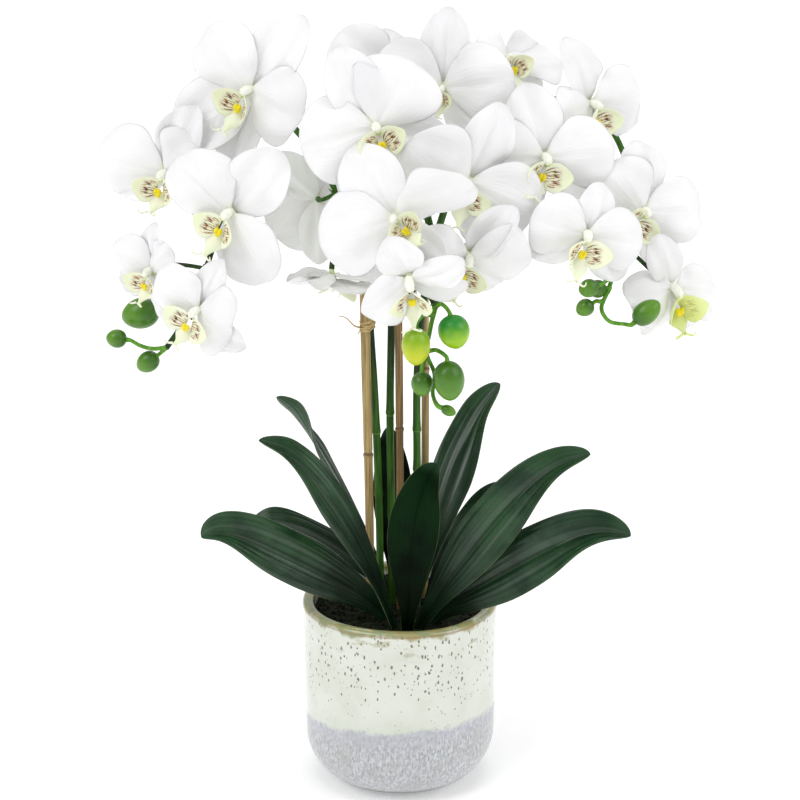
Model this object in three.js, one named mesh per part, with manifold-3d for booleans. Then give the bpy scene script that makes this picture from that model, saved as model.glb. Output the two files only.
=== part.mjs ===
// A white moth orchid in a glazed pot: three arching flower spikes held up by bamboo canes,
// with a rosette of strap leaves. Millimetres, +Z up, origin at the centre of the pot's underside.
// The plant's front, where its flowers look, is -Y.
import * as THREE from 'three';
import { mergeVertices } from 'three/addons/utils/BufferGeometryUtils.js';
import Module from 'manifold-3d';

const wasm = await Module();
wasm.setup();

// ---------------------------------------------------------------- driving dimensions
const GAP = 0.35; // kept between pieces that touch
const SMOOTHED = 0.3; // how far joining may move a surface to drop slivers
const POT = { radius: 70, height: 136, wall: 8.4, taper: 1.8, corner: 34, floor: 9, rimEdge: 3, sides: 28 };
const SOIL = { top: 126.5, crown: 1.5 };
const ROOTED = 95; // height of the buried ends of the canes and spikes
const SPIKE = { radius: 2.4, sides: 6, steps: 40 };
const PEDICEL = { radius: 1.4, sides: 4, steps: 3, reach: 14, approach: 2.5 };
const CANE = { radius: 2.8, ring: 0.6, sides: 8, pitch: 92, ringHalf: 3 };
const LEAF = { thick: 2.2, fold: 0.28, base: 0.3, widest: 0.62 };
const TIE = { height: 338, width: 6, thick: 1.3 };
const HUB = { length: 7, front: 3.2, back: 2.4 };
const TEPAL = {
  petal: {
    length: 1.0, width: 0.56, early: 0.8, full: 0.6, base: 0.02, rise: 0.2, turn: 0.62, droop: 0.1, cup: -0.06,
  },
  sepal: {
    length: 1.08, width: 0.36, early: 1.0, full: 0.8, base: -0.09, rise: 0.1, turn: 0.7, droop: 0.1, cup: 0.03,
  },
};
const TEPAL_THICK = 1.3;
const CLAW = 0.09; // half width of a tepal's narrow base, in flower radii

// Each leaf: four points along its midrib, its width, and the way its upper face looks.
const LEAVES = [
  {
    rib: [[-8, -22, 127.4], [-45, -30, 160], [-94, -44, 187], [-136, -54, 203]],
    width: 38, face: [0, -0.85, 0.55],
  },
  {
    rib: [[-9, 12, 127.4], [-38, 16, 161], [-72, 18, 178], [-110, 22, 184]],
    width: 30, face: [0.1, -0.25, 1],
  },
  {
    rib: [[-4, -40, 127.4], [-32, -42, 197], [-58, -42, 232], [-95, -38, 267]],
    width: 30, face: [0.72, -0.65, 0.35],
  },
  {
    rib: [[-8, 22, 127.4], [-37, 28, 196], [-63, 38, 238], [-88, 48, 271]],
    width: 26, face: [0.88, -0.1, 0.45],
  },
  {
    rib: [[5, -46, 127.4], [7, -54, 182], [12, -57, 224], [25, -56, 254]],
    width: 36, face: [0, -1, 0.2],
  },
  {
    rib: [[8, -17, 127.4], [29, -12, 207], [44, -4, 249], [68, 8, 293]],
    width: 33, face: [-0.45, -0.85, 0.2],
  },
  {
    rib: [[13, -36, 127.4], [42, -42, 176], [77, -44, 217], [129, -40, 258]],
    width: 38, face: [-0.3, -0.9, 0.35],
  },
  {
    rib: [[18, -26, 127.4], [56, -34, 157], [102, -48, 184], [157, -58, 206]],
    width: 42, face: [0, -0.85, 0.5],
  },
  {
    rib: [[18, -9, 127.4], [36, -4, 162], [58, 6, 191], [84, 14, 210]],
    width: 32, face: [-0.2, -0.7, 0.7],
  },
  {
    rib: [[5, 20, 127.4], [-1, 27, 176], [-6, 33, 216], [-8, 39, 250]],
    width: 30, face: [0.1, -1, 0.1],
  },
];

// Each cane: its foot in the soil and its top.
const CANES = [
  { name: 'bamboo_cane_left', foot: [-21, -10], top: [-24, -8, 392] },
  { name: 'bamboo_cane_centre', foot: [1, -3], top: [-2, -3, 392] },
  { name: 'bamboo_cane_right', foot: [18, 16], top: [17, 16, 385] },
];

// Each spike: the points its stem runs through above the soil, and its buds' stalks: the bud
// a stalk ends at (none for the bare tip) and the points it runs through on the way.
const SPIKES = [
  {
    name: 'flower_spike_left',
    foot: [-14, 2],
    stem: [[-15, 1, 210], [-19, 0, 310], [-25, 4, 370], [-42, 10, 425], [-68, 14, 466], [-88, 10, 482],
      [-105, 4, 468], [-114, -6, 435], [-123, -18, 402], [-133, -30, 372], [-143, -40, 350], [-155, -47, 333]],
    stalks: [
      { bud: 1, through: [[-155, -47, 333], [-165, -46, 332], [-174, -41, 333]] },
      { bud: 2, through: [[-155, -47, 333]] },
      { bud: 0, through: [[-137, -34, 363], [-149, -25, 360]] },
    ],
  },
  {
    name: 'flower_spike_centre',
    foot: [-6, 6],
    stem: [[-6, 6, 193], [-7, 6, 270], [-6, 6, 338], [-6, 6, 395], [-3, 2, 425], [2, -12, 450], [8, -30, 455],
      [16, -38, 430], [22, -48, 405], [25, -66, 385], [24, -86, 377], [22, -102, 374]],
    stalks: [
      { bud: 7, through: [[22, -102, 374], [19, -104, 360], [17, -104, 345], [22, -100, 330], [21, -102, 317]] },
      { bud: 4, through: [[22, -102, 374], [26, -108, 378]] },
      { bud: 3, through: [[21, -103, 369], [15, -111, 372]] },
      { bud: 5, through: [[17, -104, 346], [23, -108, 348]] },
      { bud: 6, through: [[17, -104, 344], [15, -105, 339]] },
    ],
  },
  {
    name: 'flower_spike_right',
    foot: [12, 5],
    stem: [[12, 5, 229], [12, 5, 300], [16, 5, 351], [30, 12, 413], [54, 20, 462], [84, 24, 484], [113, 22, 487],
      [138, 16, 474], [152, 8, 450], [157, 0, 425], [155, -14, 404], [149, -32, 390], [141, -46, 384]],
    stalks: [
      { bud: 11, through: [[141, -46, 384], [136, -54, 373], [132, -57, 362], [137, -60, 354.5], [147, -62, 353]] },
      { bud: 8, through: [[140, -48, 382], [136, -57, 382]] },
      { bud: 9, through: [[136, -54, 372.5]] },
      { bud: 10, through: [[133.5, -55.5, 367], [130, -57, 367]] },
      { through: [[140, -48, 382], [141, -50, 385], [142, -52, 388]] },
    ],
  },
];

// Each flower: its spike, centre, the way it looks (yaw to its right, pitch up, roll clockwise),
// its radius, and how far round from the top sepal its petals and lower sepals stand.
const FLOWERS = [
  { spike: 0, at: [-98, -15, 499], look: [-22, 5, 36], radius: 50, petals: [70, -78], sepals: [116, -141] },
  { spike: 0, at: [-156, -8, 443], look: [-20, 0, 10], radius: 46, petals: [80, -80], sepals: [130, -130] },
  { spike: 0, at: [-110, -56, 426], look: [-15, 0, 43], radius: 49, petals: [88, -84], sepals: [114, -118] },
  { spike: 0, at: [-165, -30, 382], look: [-30, -5, 10], radius: 31, petals: [55, -70], sepals: [130, -130] },
  { spike: 0, at: [-131, -66, 364], look: [-25, -5, 32], radius: 36, petals: [78, -76], sepals: [106, -118] },
  { spike: 1, at: [-15, -62, 482], look: [0, 8, -28], radius: 50, petals: [78, -78], sepals: [135, -135] },
  { spike: 1, at: [-3, -98, 430.5], look: [-8, 8, -30], radius: 49, petals: [82, -80], sepals: [140, -150] },
  { spike: 1, at: [43, -61, 447], look: [8, -12, 25], radius: 50, petals: [90, -80], sepals: [130, -124] },
  { spike: 1, at: [43.6, -77, 402], look: [6, -22, 24], radius: 42, petals: [70, -78], sepals: [125, -125] },
  { spike: 1, at: [6, -122, 398], look: [0, -28, -25], radius: 35, petals: [82, -80], sepals: [130, -130] },
  { spike: 2, at: [28, -18, 501], look: [-8, 0, 3], radius: 48, petals: [78, -78], sepals: [130, -130] },
  { spike: 2, at: [72, 22, 514], look: [20, 28, 22], radius: 36, petals: [80, -80], sepals: [130, -130] },
  { spike: 2, at: [126, -8, 489], look: [34, 0, -24], radius: 44, petals: [98, -75], sepals: [130, -130] },
  { spike: 2, at: [93.4, -44, 459.7], look: [10, 2, -12], radius: 46, petals: [84, -78], sepals: [128, -130] },
  { spike: 2, at: [160, -30, 422], look: [20, 0, 26], radius: 41, petals: [64, -66], sepals: [128, -125] },
  { spike: 2, at: [120, -62, 413], look: [5, 0, 15], radius: 37, petals: [84, -80], sepals: [125, -122] },
  { spike: 2, at: [181, -35, 371], look: [22, -8, -6], radius: 35, petals: [100, -92], sepals: [150, -148] },
  { spike: 0, at: [-56, 26, 420], look: [180, 0, 50], radius: 42, petals: [80, -80], sepals: [130, -130] },
  { spike: 1, at: [-12, 8, 503], look: [-10, 5, 0], radius: 40, petals: [80, -80], sepals: [116, -140] },
  { spike: 0, at: [-45, -45, 380], look: [-30, -88, 0], radius: 31, petals: [80, -80], sepals: [130, -130] },
];

// Each bud: its middle, the way its tip points, its length and its width.
const BUDS = [
  { at: [-175, -22, 350], tip: [-1, 0, -0.25], size: [26, 21] },
  { at: [-190, -35, 336], tip: [-1, 0.1, 0.1], size: [14, 12.5] },
  { at: [-169, -40, 321], tip: [-0.8, 0.2, -0.6], size: [17, 14] },
  { at: [10, -118, 353], tip: [0, 0, -1], size: [24, 18] },
  { at: [34, -112, 361], tip: [0.25, 0, -1], size: [22, 20] },
  { at: [31, -112, 329], tip: [0.1, 0, -1], size: [26, 20] },
  { at: [14, -106, 325], tip: [0, 0, -1], size: [16, 14] },
  { at: [31, -108, 308], tip: [1, -0.2, -0.4], size: [10, 7] },
  { at: [122, -66, 378], tip: [-0.9, -0.3, -0.2], size: [13, 12] },
  { at: [129, -53, 374.5], tip: [-1, 0, -0.1], size: [12.5, 12] },
  { at: [121, -58, 363], tip: [-0.8, 0, -0.5], size: [12.5, 11.5] },
  { at: [161, -62, 361], tip: [0.75, 0, 0.65], size: [21, 15] },
];

const FINISH = {
  glaze: { color: 0xe6ebdd, roughness: 0.25, metalness: 0 },
  soil: { color: 0x14160f, roughness: 0.95, metalness: 0 },
  leaf: { color: 0x1d3a26, roughness: 0.45, metalness: 0 },
  stem: { color: 0x3c6a2a, roughness: 0.5, metalness: 0 },
  bamboo: { color: 0xa98e52, roughness: 0.6, metalness: 0 },
  raffia: { color: 0xb8935a, roughness: 0.85, metalness: 0 },
  petal: { color: 0xf6f6f3, roughness: 0.55, metalness: 0 },
  bud: { color: 0x56a030, roughness: 0.4, metalness: 0 },
};

// ---------------------------------------------------------------- solids and meshes
// A closed geometry as a solid: shared corners are merged and collapsed triangles dropped.
function solidOf(geometry) {
  const bare = geometry.index ? geometry.toNonIndexed() : geometry.clone();
  for (const name of Object.keys(bare.attributes)) {
    if (name !== 'position') bare.deleteAttribute(name);
  }
  const merged = mergeVertices(bare, 1e-4);
  const corners = merged.index.array;
  const kept = [];
  for (let i = 0; i < corners.length; i += 3) {
    const [a, b, c] = [corners[i], corners[i + 1], corners[i + 2]];
    if (a !== b && b !== c && c !== a) kept.push(a, b, c);
  }
  return new wasm.Manifold(new wasm.Mesh({
    numProp: 3,
    vertProperties: new Float32Array(merged.attributes.position.array),
    triVerts: new Uint32Array(kept),
  }));
}

function joined(geometries) {
  const solids = geometries.map(solidOf);
  return solids.reduce((sum, next) => sum.add(next)).simplify(SMOOTHED);
}

function geometryOf(solid) {
  const mesh = solid.getMesh();
  const geometry = new THREE.BufferGeometry();
  geometry.setAttribute('position', new THREE.BufferAttribute(new Float32Array(mesh.vertProperties), 3));
  geometry.setIndex(new THREE.BufferAttribute(new Uint32Array(mesh.triVerts), 1));
  geometry.computeVertexNormals();
  return geometry;
}

function piece(name, solid, finish) {
  const mesh = new THREE.Mesh(geometryOf(solid), new THREE.MeshStandardMaterial(finish));
  mesh.name = name;
  return mesh;
}

const vec = (xyz) => new THREE.Vector3(...xyz);

// ---------------------------------------------------------------- shared shapes
// A profile of [radius, height] points turned about Z.
function turned(profile, sides) {
  const points = profile.map(([r, z]) => new THREE.Vector2(r, z));
  return new THREE.LatheGeometry(points, sides).rotateX(Math.PI / 2);
}

// A round tube along a curve, closed at both ends.
function tube(curve, radius, sides, steps) {
  const section = new THREE.Shape().absarc(0, 0, radius, 0, 2 * Math.PI);
  return new THREE.ExtrudeGeometry(section, { extrudePath: curve, steps, curveSegments: sides / 2 });
}

// A thin blade from a sphere whose rings are laid out by place(u, s, t):
// u runs 0 to 1 from base to tip, s -1 to 1 across and t -1 to 1 through the thickness.
function blade(sides, rings, place) {
  const geometry = new THREE.SphereGeometry(1, sides, rings);
  const corner = geometry.attributes.position;
  for (let i = 0; i < corner.count; i += 1) {
    const [x, y, z] = [corner.getX(i), corner.getY(i), corner.getZ(i)];
    const ring = Math.hypot(x, z);
    const across = ring > 1e-6 ? x / ring : 0;
    const through = ring > 1e-6 ? z / ring : 0;
    const p = place((1 + y) / 2, across, through);
    corner.setXYZ(i, p.x, p.y, p.z);
  }
  return geometry;
}

// The cubic curve that passes through four points a third of its parameter apart.
function throughFour([a, b, c, d]) {
  const mix = (wa, wb, wc, wd) => vec(a).multiplyScalar(wa).addScaledVector(vec(b), wb)
    .addScaledVector(vec(c), wc).addScaledVector(vec(d), wd);
  return new THREE.CubicBezierCurve3(
    vec(a),
    mix(-5 / 6, 3, -3 / 2, 1 / 3),
    mix(1 / 3, -3 / 2, 3, -5 / 6),
    vec(d),
  );
}

// ---------------------------------------------------------------- pot and soil
// Points of a quarter round from straight down to straight out, around [radius, height].
function quarterRound(radius, height, round, points) {
  const out = [];
  for (let i = 0; i <= points; i += 1) {
    const turn = (i / points) * (Math.PI / 2);
    out.push([radius + round * Math.sin(turn), height - round * Math.cos(turn)]);
  }
  return out;
}

function makePot() {
  const inside = POT.radius - POT.wall;
  const innerCorner = POT.corner - POT.wall;
  const outer = quarterRound(POT.radius - POT.taper - POT.corner, POT.corner, POT.corner, 5);
  const inner = quarterRound(inside - innerCorner, POT.floor + innerCorner, innerCorner, 4).reverse();
  const profile = [
    [0, 0],
    ...outer,
    [POT.radius, POT.height - POT.rimEdge],
    [POT.radius - POT.rimEdge, POT.height],
    [inside + POT.rimEdge, POT.height],
    [inside, POT.height - POT.rimEdge],
    ...inner,
    [0, POT.floor],
  ];
  return piece('pot', solidOf(turned(profile, POT.sides)), FINISH.glaze);
}

function makeSoil() {
  const radius = POT.radius - POT.wall - GAP;
  const corner = POT.corner - POT.wall;
  const bottom = POT.floor + GAP;
  const profile = [
    [0, bottom],
    ...quarterRound(radius - corner, bottom + corner, corner, 4),
    [radius, SOIL.top - SOIL.crown],
    [radius * 0.6, SOIL.top],
    [0, SOIL.top],
  ];
  let soil = solidOf(turned(profile, POT.sides));
  const socket = (foot, stemRadius) => {
    const hole = new THREE.CylinderGeometry(stemRadius + 0.8, stemRadius + 0.8, POT.height - ROOTED, 8);
    hole.rotateX(Math.PI / 2).translate(foot[0], foot[1], (POT.height + ROOTED) / 2 - GAP);
    soil = soil.subtract(solidOf(hole));
  };
  CANES.forEach((cane) => socket(cane.foot, CANE.radius));
  SPIKES.forEach((spike) => socket(spike.foot, SPIKE.radius));
  return piece('soil', soil, FINISH.soil);
}

// ---------------------------------------------------------------- leaves
// Half of a leaf's width along its length: a narrow base, widest past the middle, a round tip.
function leafHalf(width, u) {
  const swell = THREE.MathUtils.smoothstep(u, 0, LEAF.widest);
  const past = Math.max(0, (u - LEAF.widest) / (1 - LEAF.widest));
  return (width / 2) * (LEAF.base + (1 - LEAF.base) * swell) * (1 - past ** 2.5) ** 0.6;
}

function makeLeaf({ rib, width, face }, index) {
  const curve = throughFour(rib);
  const look = vec(face).normalize();
  const place = (u, s, t) => {
    const along = curve.getTangent(u);
    const across = along.clone().cross(look).normalize();
    const up = across.clone().cross(along);
    const half = leafHalf(width, u);
    const lift = LEAF.fold * half * Math.abs(s) ** 1.5 + (LEAF.thick / 2) * t;
    return curve.getPoint(u).addScaledVector(across, half * s).addScaledVector(up, lift);
  };
  const name = `leaf_${String(index + 1).padStart(2, '0')}`;
  return piece(name, solidOf(blade(6, 8, place)), FINISH.leaf);
}

// ---------------------------------------------------------------- canes and tie
function makeCane({ name, foot, top }) {
  const start = new THREE.Vector3(foot[0], foot[1], ROOTED);
  const run = vec(top).sub(start);
  const length = run.length();
  const profile = [[0, 0], [CANE.radius, 0]];
  for (let z = CANE.pitch; z < length - CANE.pitch / 3; z += CANE.pitch) {
    profile.push([CANE.radius, z - CANE.ringHalf], [CANE.radius + CANE.ring, z]);
    profile.push([CANE.radius, z + CANE.ringHalf]);
  }
  profile.push([CANE.radius, length], [0, length]);
  const cane = turned(profile, CANE.sides);
  cane.applyQuaternion(new THREE.Quaternion().setFromUnitVectors(new THREE.Vector3(0, 0, 1), run.normalize()));
  cane.translate(start.x, start.y, start.z);
  return piece(name, solidOf(cane), FINISH.bamboo);
}

// An outline round two equal circles, as one closed path.
function aroundTwo(path, a, b, radius) {
  const heading = Math.atan2(b.y - a.y, b.x - a.x);
  path.absarc(b.x, b.y, radius, heading - Math.PI / 2, heading + Math.PI / 2);
  path.absarc(a.x, a.y, radius, heading + Math.PI / 2, heading + (3 * Math.PI) / 2);
  path.closePath();
  return path;
}

function makeTie() {
  const cane = new THREE.Vector2(-23.5, -8.4);
  const stem = new THREE.Vector2(-20.7, 1.3);
  const bore = CANE.radius + GAP + 0.2;
  const band = aroundTwo(new THREE.Shape(), cane, stem, bore + TIE.thick);
  band.holes.push(aroundTwo(new THREE.Path(), cane, stem, bore));
  const ring = new THREE.ExtrudeGeometry(band, { depth: TIE.width, bevelEnabled: false, curveSegments: 6 });
  ring.translate(0, 0, TIE.height - TIE.width / 2);
  const outside = cane.x - bore - TIE.thick / 2;
  const loose = new THREE.CatmullRomCurve3([
    new THREE.Vector3(outside, -9, TIE.height + 1),
    new THREE.Vector3(outside - 6, -12, TIE.height + 5),
    new THREE.Vector3(outside - 14, -13, TIE.height + 8),
  ]);
  return piece('raffia_tie', joined([ring, tube(loose, 0.7, 5, 4)]), FINISH.raffia);
}

// ---------------------------------------------------------------- flowers
// A flower's own axes: X to its right, Y towards its top sepal and Z the way it looks.
function flowerAxes([yaw, pitch, roll]) {
  const [a, b, c] = [yaw, pitch, roll].map(THREE.MathUtils.degToRad);
  const look = new THREE.Vector3(Math.sin(a) * Math.cos(b), -Math.cos(a) * Math.cos(b), Math.sin(b));
  const level = new THREE.Vector3(Math.cos(a), Math.sin(a), 0);
  const rise = look.clone().cross(level);
  const up = rise.clone().multiplyScalar(Math.cos(c)).addScaledVector(level, Math.sin(c));
  const right = level.multiplyScalar(Math.cos(c)).addScaledVector(rise, -Math.sin(c));
  return { right, up, look };
}

function tepal(kind, radius, degrees) {
  const form = TEPAL[kind];
  const turn = THREE.MathUtils.degToRad(degrees);
  const place = (u, s, t) => {
    const spread = form.width * Math.sin(Math.PI * u ** form.early) ** form.full;
    const half = Math.max(spread, CLAW * (1 - u));
    const x = radius * half * s;
    const y = radius * form.length * u;
    const curve = form.base + form.rise * Math.sin(Math.PI * form.turn * u) - form.droop * u * u;
    const z = radius * (curve + form.cup * s * s * (half / form.width)) + (TEPAL_THICK / 2) * t;
    return new THREE.Vector3(
      x * Math.cos(turn) + y * Math.sin(turn),
      -x * Math.sin(turn) + y * Math.cos(turn),
      z,
    );
  };
  return blade(6, 4, place);
}

// The lip below the column: two side lobes standing up as one body, and the narrow middle lobe.
function lip(radius) {
  const lobes = new THREE.SphereGeometry(1, 6, 3).scale(0.24 * radius, 0.11 * radius, 0.12 * radius);
  lobes.translate(0, -0.17 * radius, 0.18 * radius);
  const middle = new THREE.SphereGeometry(1, 6, 3).scale(0.1 * radius, 0.22 * radius, 0.06 * radius);
  middle.rotateX(THREE.MathUtils.degToRad(35)).translate(0, -0.33 * radius, 0.16 * radius);
  return [lobes, middle];
}

function column(radius) {
  const cap = new THREE.SphereGeometry(1, 6, 3).scale(0.08 * radius, 0.09 * radius, 0.18 * radius);
  cap.translate(0, -0.01 * radius, 0.12 * radius);
  const hub = new THREE.CylinderGeometry(HUB.front, HUB.back, HUB.length + 2, 6);
  hub.rotateX(Math.PI / 2).translate(0, 0, 1 - HUB.length / 2);
  return [cap, hub];
}

function makeFlower({ at, look, radius, petals, sepals }, index) {
  const parts = [
    tepal('sepal', radius, 0),
    ...sepals.map((angle) => tepal('sepal', radius, angle)),
    ...petals.map((angle) => tepal('petal', radius, angle)),
    ...lip(radius),
    ...column(radius),
  ];
  const axes = flowerAxes(look);
  const placed = new THREE.Matrix4().makeBasis(axes.right, axes.up, axes.look).setPosition(...at);
  parts.forEach((part) => part.applyMatrix4(placed));
  const name = `flower_${String(index + 1).padStart(2, '0')}`;
  return piece(name, joined(parts), FINISH.petal);
}

// ---------------------------------------------------------------- spikes and buds
// A flower's stalk: from the nearest point of its stem to just behind the flower's hub.
function pedicel(stem, { at, look }) {
  const axes = flowerAxes(look);
  const end = vec(at).addScaledVector(axes.look, -(HUB.length + GAP));
  const bend = end.clone().addScaledVector(axes.look, -PEDICEL.reach);
  const points = stem.getSpacedPoints(SPIKE.steps);
  const nearest = points.reduce((best, p) => (p.distanceTo(bend) < best.distanceTo(bend) ? p : best));
  const curve = new THREE.QuadraticBezierCurve3(nearest, bend, end);
  return tube(curve, PEDICEL.radius, PEDICEL.sides, PEDICEL.steps);
}

// A bud's stalk, which runs in line with the bud and ends just short of it.
function stalk({ bud, through }) {
  const points = through.map(vec);
  if (bud !== undefined) {
    const { at, tip, size } = BUDS[bud];
    const back = vec(tip).normalize().negate();
    [PEDICEL.approach, 0].forEach((away) => {
      points.push(vec(at).addScaledVector(back, size[0] / 2 + GAP + away));
    });
  }
  const curve = new THREE.CatmullRomCurve3(points);
  return tube(curve, PEDICEL.radius, PEDICEL.sides, 2 * points.length - 2);
}

function makeSpike({ name, foot, stem, stalks }, index) {
  const buried = [[...foot, ROOTED], [...foot, SOIL.top + 4]];
  const axis = new THREE.CatmullRomCurve3([...buried, ...stem].map(vec));
  const ownFlowers = FLOWERS.filter((flower) => flower.spike === index);
  const parts = [
    tube(axis, SPIKE.radius, SPIKE.sides, SPIKE.steps),
    ...ownFlowers.map((flower) => pedicel(axis, flower)),
    ...stalks.map(stalk),
  ];
  return piece(name, joined(parts), FINISH.stem);
}

function makeBud({ at, tip, size }, index) {
  const [length, width] = size;
  const bud = new THREE.SphereGeometry(1, 8, 4).scale(width / 2, length / 2, width / 2);
  bud.applyQuaternion(new THREE.Quaternion().setFromUnitVectors(new THREE.Vector3(0, 1, 0), vec(tip).normalize()));
  bud.translate(...at);
  const name = `bud_${String(index + 1).padStart(2, '0')}`;
  return piece(name, solidOf(bud), FINISH.bud);
}

// ---------------------------------------------------------------- the plant
const plant = new THREE.Group();
plant.add(makePot(), makeSoil());
plant.add(...LEAVES.map(makeLeaf));
plant.add(...CANES.map(makeCane));
plant.add(makeTie());
plant.add(...SPIKES.map(makeSpike));
plant.add(...FLOWERS.map(makeFlower));
plant.add(...BUDS.map(makeBud));

export default plant;
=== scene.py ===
"""A white moth orchid in a dipped and speckled pot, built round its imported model.

Laid out as an add-on and run as a script: the operators make the pot, the soil, the leaves, the canes,
the spikes, the buds, the tie, the flowers and the stage in turn. The tables are in millimetres, with +Z up,
the pot standing on Z = 0 and the flowers looking towards -Y.
"""
import functools
import math

import bpy
import numpy as np
from bpy.props import FloatProperty, FloatVectorProperty, IntProperty, PointerProperty
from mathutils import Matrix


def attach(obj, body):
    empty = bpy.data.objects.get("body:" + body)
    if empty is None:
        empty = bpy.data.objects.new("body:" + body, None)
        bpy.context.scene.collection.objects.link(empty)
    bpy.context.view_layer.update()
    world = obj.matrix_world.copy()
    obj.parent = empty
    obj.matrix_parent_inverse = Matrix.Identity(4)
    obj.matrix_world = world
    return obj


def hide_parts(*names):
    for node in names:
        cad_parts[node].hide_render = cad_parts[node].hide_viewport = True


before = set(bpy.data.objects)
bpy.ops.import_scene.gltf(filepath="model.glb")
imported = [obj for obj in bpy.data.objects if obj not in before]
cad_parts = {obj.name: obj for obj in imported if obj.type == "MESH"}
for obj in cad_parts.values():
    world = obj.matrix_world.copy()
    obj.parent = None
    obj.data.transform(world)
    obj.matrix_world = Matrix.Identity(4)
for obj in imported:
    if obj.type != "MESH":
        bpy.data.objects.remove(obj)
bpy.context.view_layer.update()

bl_info = {
    "name": "Potted moth orchid",
    "version": (1, 0, 0),
    "blender": (4, 5, 0),
    "location": "3D View > Sidebar > Orchid",
    "description": "Makes the visible pieces of a potted white moth orchid round its packed model",
    "category": "Add Mesh",
}

MM = 0.001

# The pot and what stands in it.
POT_RADIUS = 70.0
POT_HEIGHT = 136.0
POT_WALL = 8.4
POT_TAPER = 1.8
POT_CORNER = 34.0
POT_FLOOR = 9.0
RIM_RISE = 3.4  # how high the rounded lip stands above the straight wall
SOIL_TOP = 126.5
SOIL_FOOT = 96.0
CRUMBS = 520
STALK_RADIUS = 1.45
CANE_RADIUS = 2.8
RING_PITCH = 92.0  # from one ring of a cane to the next
TIE_FOOT = 334.0  # the height at which the raffia starts to wind
TIE_TURNS = 4.6
TIE_CLIMB = 7.6
HUB = 7.0  # how far a flower's hub reaches behind its middle
APPROACH = 14.35  # how far behind its hub a flower's stalk turns in line with it

# Each leaf: four points along its midrib, its width, the way its upper face looks, how far its edge
# waves, how far it arches up before its tip, how far its blade turns over by the tip, and which side
# of its tip is the fuller one.
LEAVES = [
    ([[-8, -22, 125], [-45, -30, 160], [-94, -44, 187], [-136, -54, 203]],
     38, [0, -0.85, 0.55], 1.2, 6, -16, 1),
    ([[-9, 12, 125], [-38, 16, 161], [-72, 18, 178], [-110, 22, 184]],
     30, [0.1, -0.25, 1], 1.0, 3, 0, 0),
    ([[-4, -40, 125], [-32, -42, 197], [-58, -42, 232], [-95, -38, 267]],
     30, [0.72, -0.65, 0.35], 1.0, 7, -14, 1),
    ([[-8, 22, 125], [-37, 28, 196], [-63, 38, 238], [-88, 48, 271]],
     26, [0.94, -0.1, 0.38], 0.8, 3, -66, 0),
    ([[5, -46, 125], [7, -54, 182], [12, -57, 224], [25, -56, 254]],
     36, [0, -1, 0.2], 0.6, 0, 6, -1),
    ([[8, -17, 125], [29, -12, 207], [44, -4, 249], [68, 8, 293]],
     33, [-0.45, -0.85, 0.2], 0.8, 0, 14, -2),
    ([[13, -36, 125], [42, -42, 176], [77, -44, 217], [129, -40, 258]],
     38, [-0.3, -0.9, 0.35], 1.2, 7, 22, -1),
    ([[18, -26, 125], [56, -34, 157], [102, -48, 184], [157, -58, 206]],
     42, [0, -0.85, 0.5], 1.2, 8, 22, -1),
    ([[18, -9, 125], [36, -4, 162], [58, 6, 191], [84, 14, 210]],
     32, [-0.2, -0.7, 0.7], 1.0, 4, 0, 0),
    ([[-3, 20, 125], [-4, 27, 176], [-6, 33, 216], [-8, 39, 250]],
     30, [0.1, -1, 0.1], 0.6, 0, 0, 0),
]

SHADED_LEAVES = (5, 10)  # the inner leaves, in a darker and duller copy of the paint: painted shade
SHEEN_PAINTED_LEAVES = (4, 6)  # the leaves with strong painted sheen, grey bands that stand for highlights

# Each cane: its name, its foot, its top, the height of its first ring, how much its radius grows to its
# top, and its colours.
CANES = [
    ("left", [-21, -10, 96], [-24, -8, 392], 245, 0.8, "#BFA76C", "#80693A"),
    ("centre", [1, -3, 96], [-2, -3, 392], 262, 0.0, "#977541", "#544021"),
    ("right", [18, 16, 96], [17, 16, 385], 300, 0.0, "#C6AC74", "#8C7040"),
]

# Each spike: its name, the points its stem runs through, the heights of its joints, and its stalks,
# each with the bud it ends at (None for the bare tip) and the points it runs through.
SPIKES = [
    (
        "left",
        [[-14, 2, 95], [-14, 2, 130.5], [-15, 1, 210], [-19, 0, 310], [-25, 4, 370], [-42, 10, 425],
         [-68, 14, 466], [-88, 10, 482], [-105, 4, 468], [-114, -6, 435], [-123, -18, 402], [-133, -30, 372],
         [-143, -40, 350], [-155, -47, 333]],
        [211, 258, 345],
        [(1, [[-155, -47, 333], [-165, -46, 332], [-174, -41, 333]]),
         (2, [[-155, -47, 333]]),
         (0, [[-137, -34, 363], [-149, -25, 360]])],
    ),
    (
        "centre",
        [[-6, 6, 95], [-6, 6, 130.5], [-6, 6, 193], [-7, 6, 270], [-6, 6, 338], [-6, 6, 395], [-3, 2, 425],
         [2, -12, 450], [8, -30, 455], [16, -38, 430], [22, -48, 405], [25, -66, 385], [24, -86, 377],
         [22, -102, 374]],
        [193, 270, 350],
        [(7, [[22, -102, 374], [19, -104, 360], [17, -104, 345], [22, -100, 330], [21, -102, 317]]),
         (4, [[22, -102, 374], [26, -108, 378]]),
         (3, [[21, -103, 369], [15, -111, 372]]),
         (5, [[17, -104, 346], [23, -108, 348]]),
         (6, [[17, -104, 344], [15, -105, 339]])],
    ),
    (
        "right",
        [[12, 5, 95], [12, 5, 130.5], [12, 5, 229], [12, 5, 300], [16, 5, 351], [30, 12, 413], [54, 20, 462],
         [84, 24, 484], [113, 22, 487], [138, 16, 474], [152, 8, 450], [157, 0, 425], [155, -14, 404],
         [149, -32, 390], [141, -46, 384]],
        [229, 258, 330],
        [(11, [[141, -46, 384], [136, -54, 373], [132, -57, 362], [137, -60, 354.5], [147, -62, 353]]),
         (8, [[140, -48, 382], [136, -57, 382]]),
         (9, [[136, -54, 372.5]]),
         (10, [[133.5, -55.5, 367], [130, -57, 367]]),
         (None, [[140, -48, 382], [141, -50, 385], [142, -52, 388]])],
    ),
]

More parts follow.
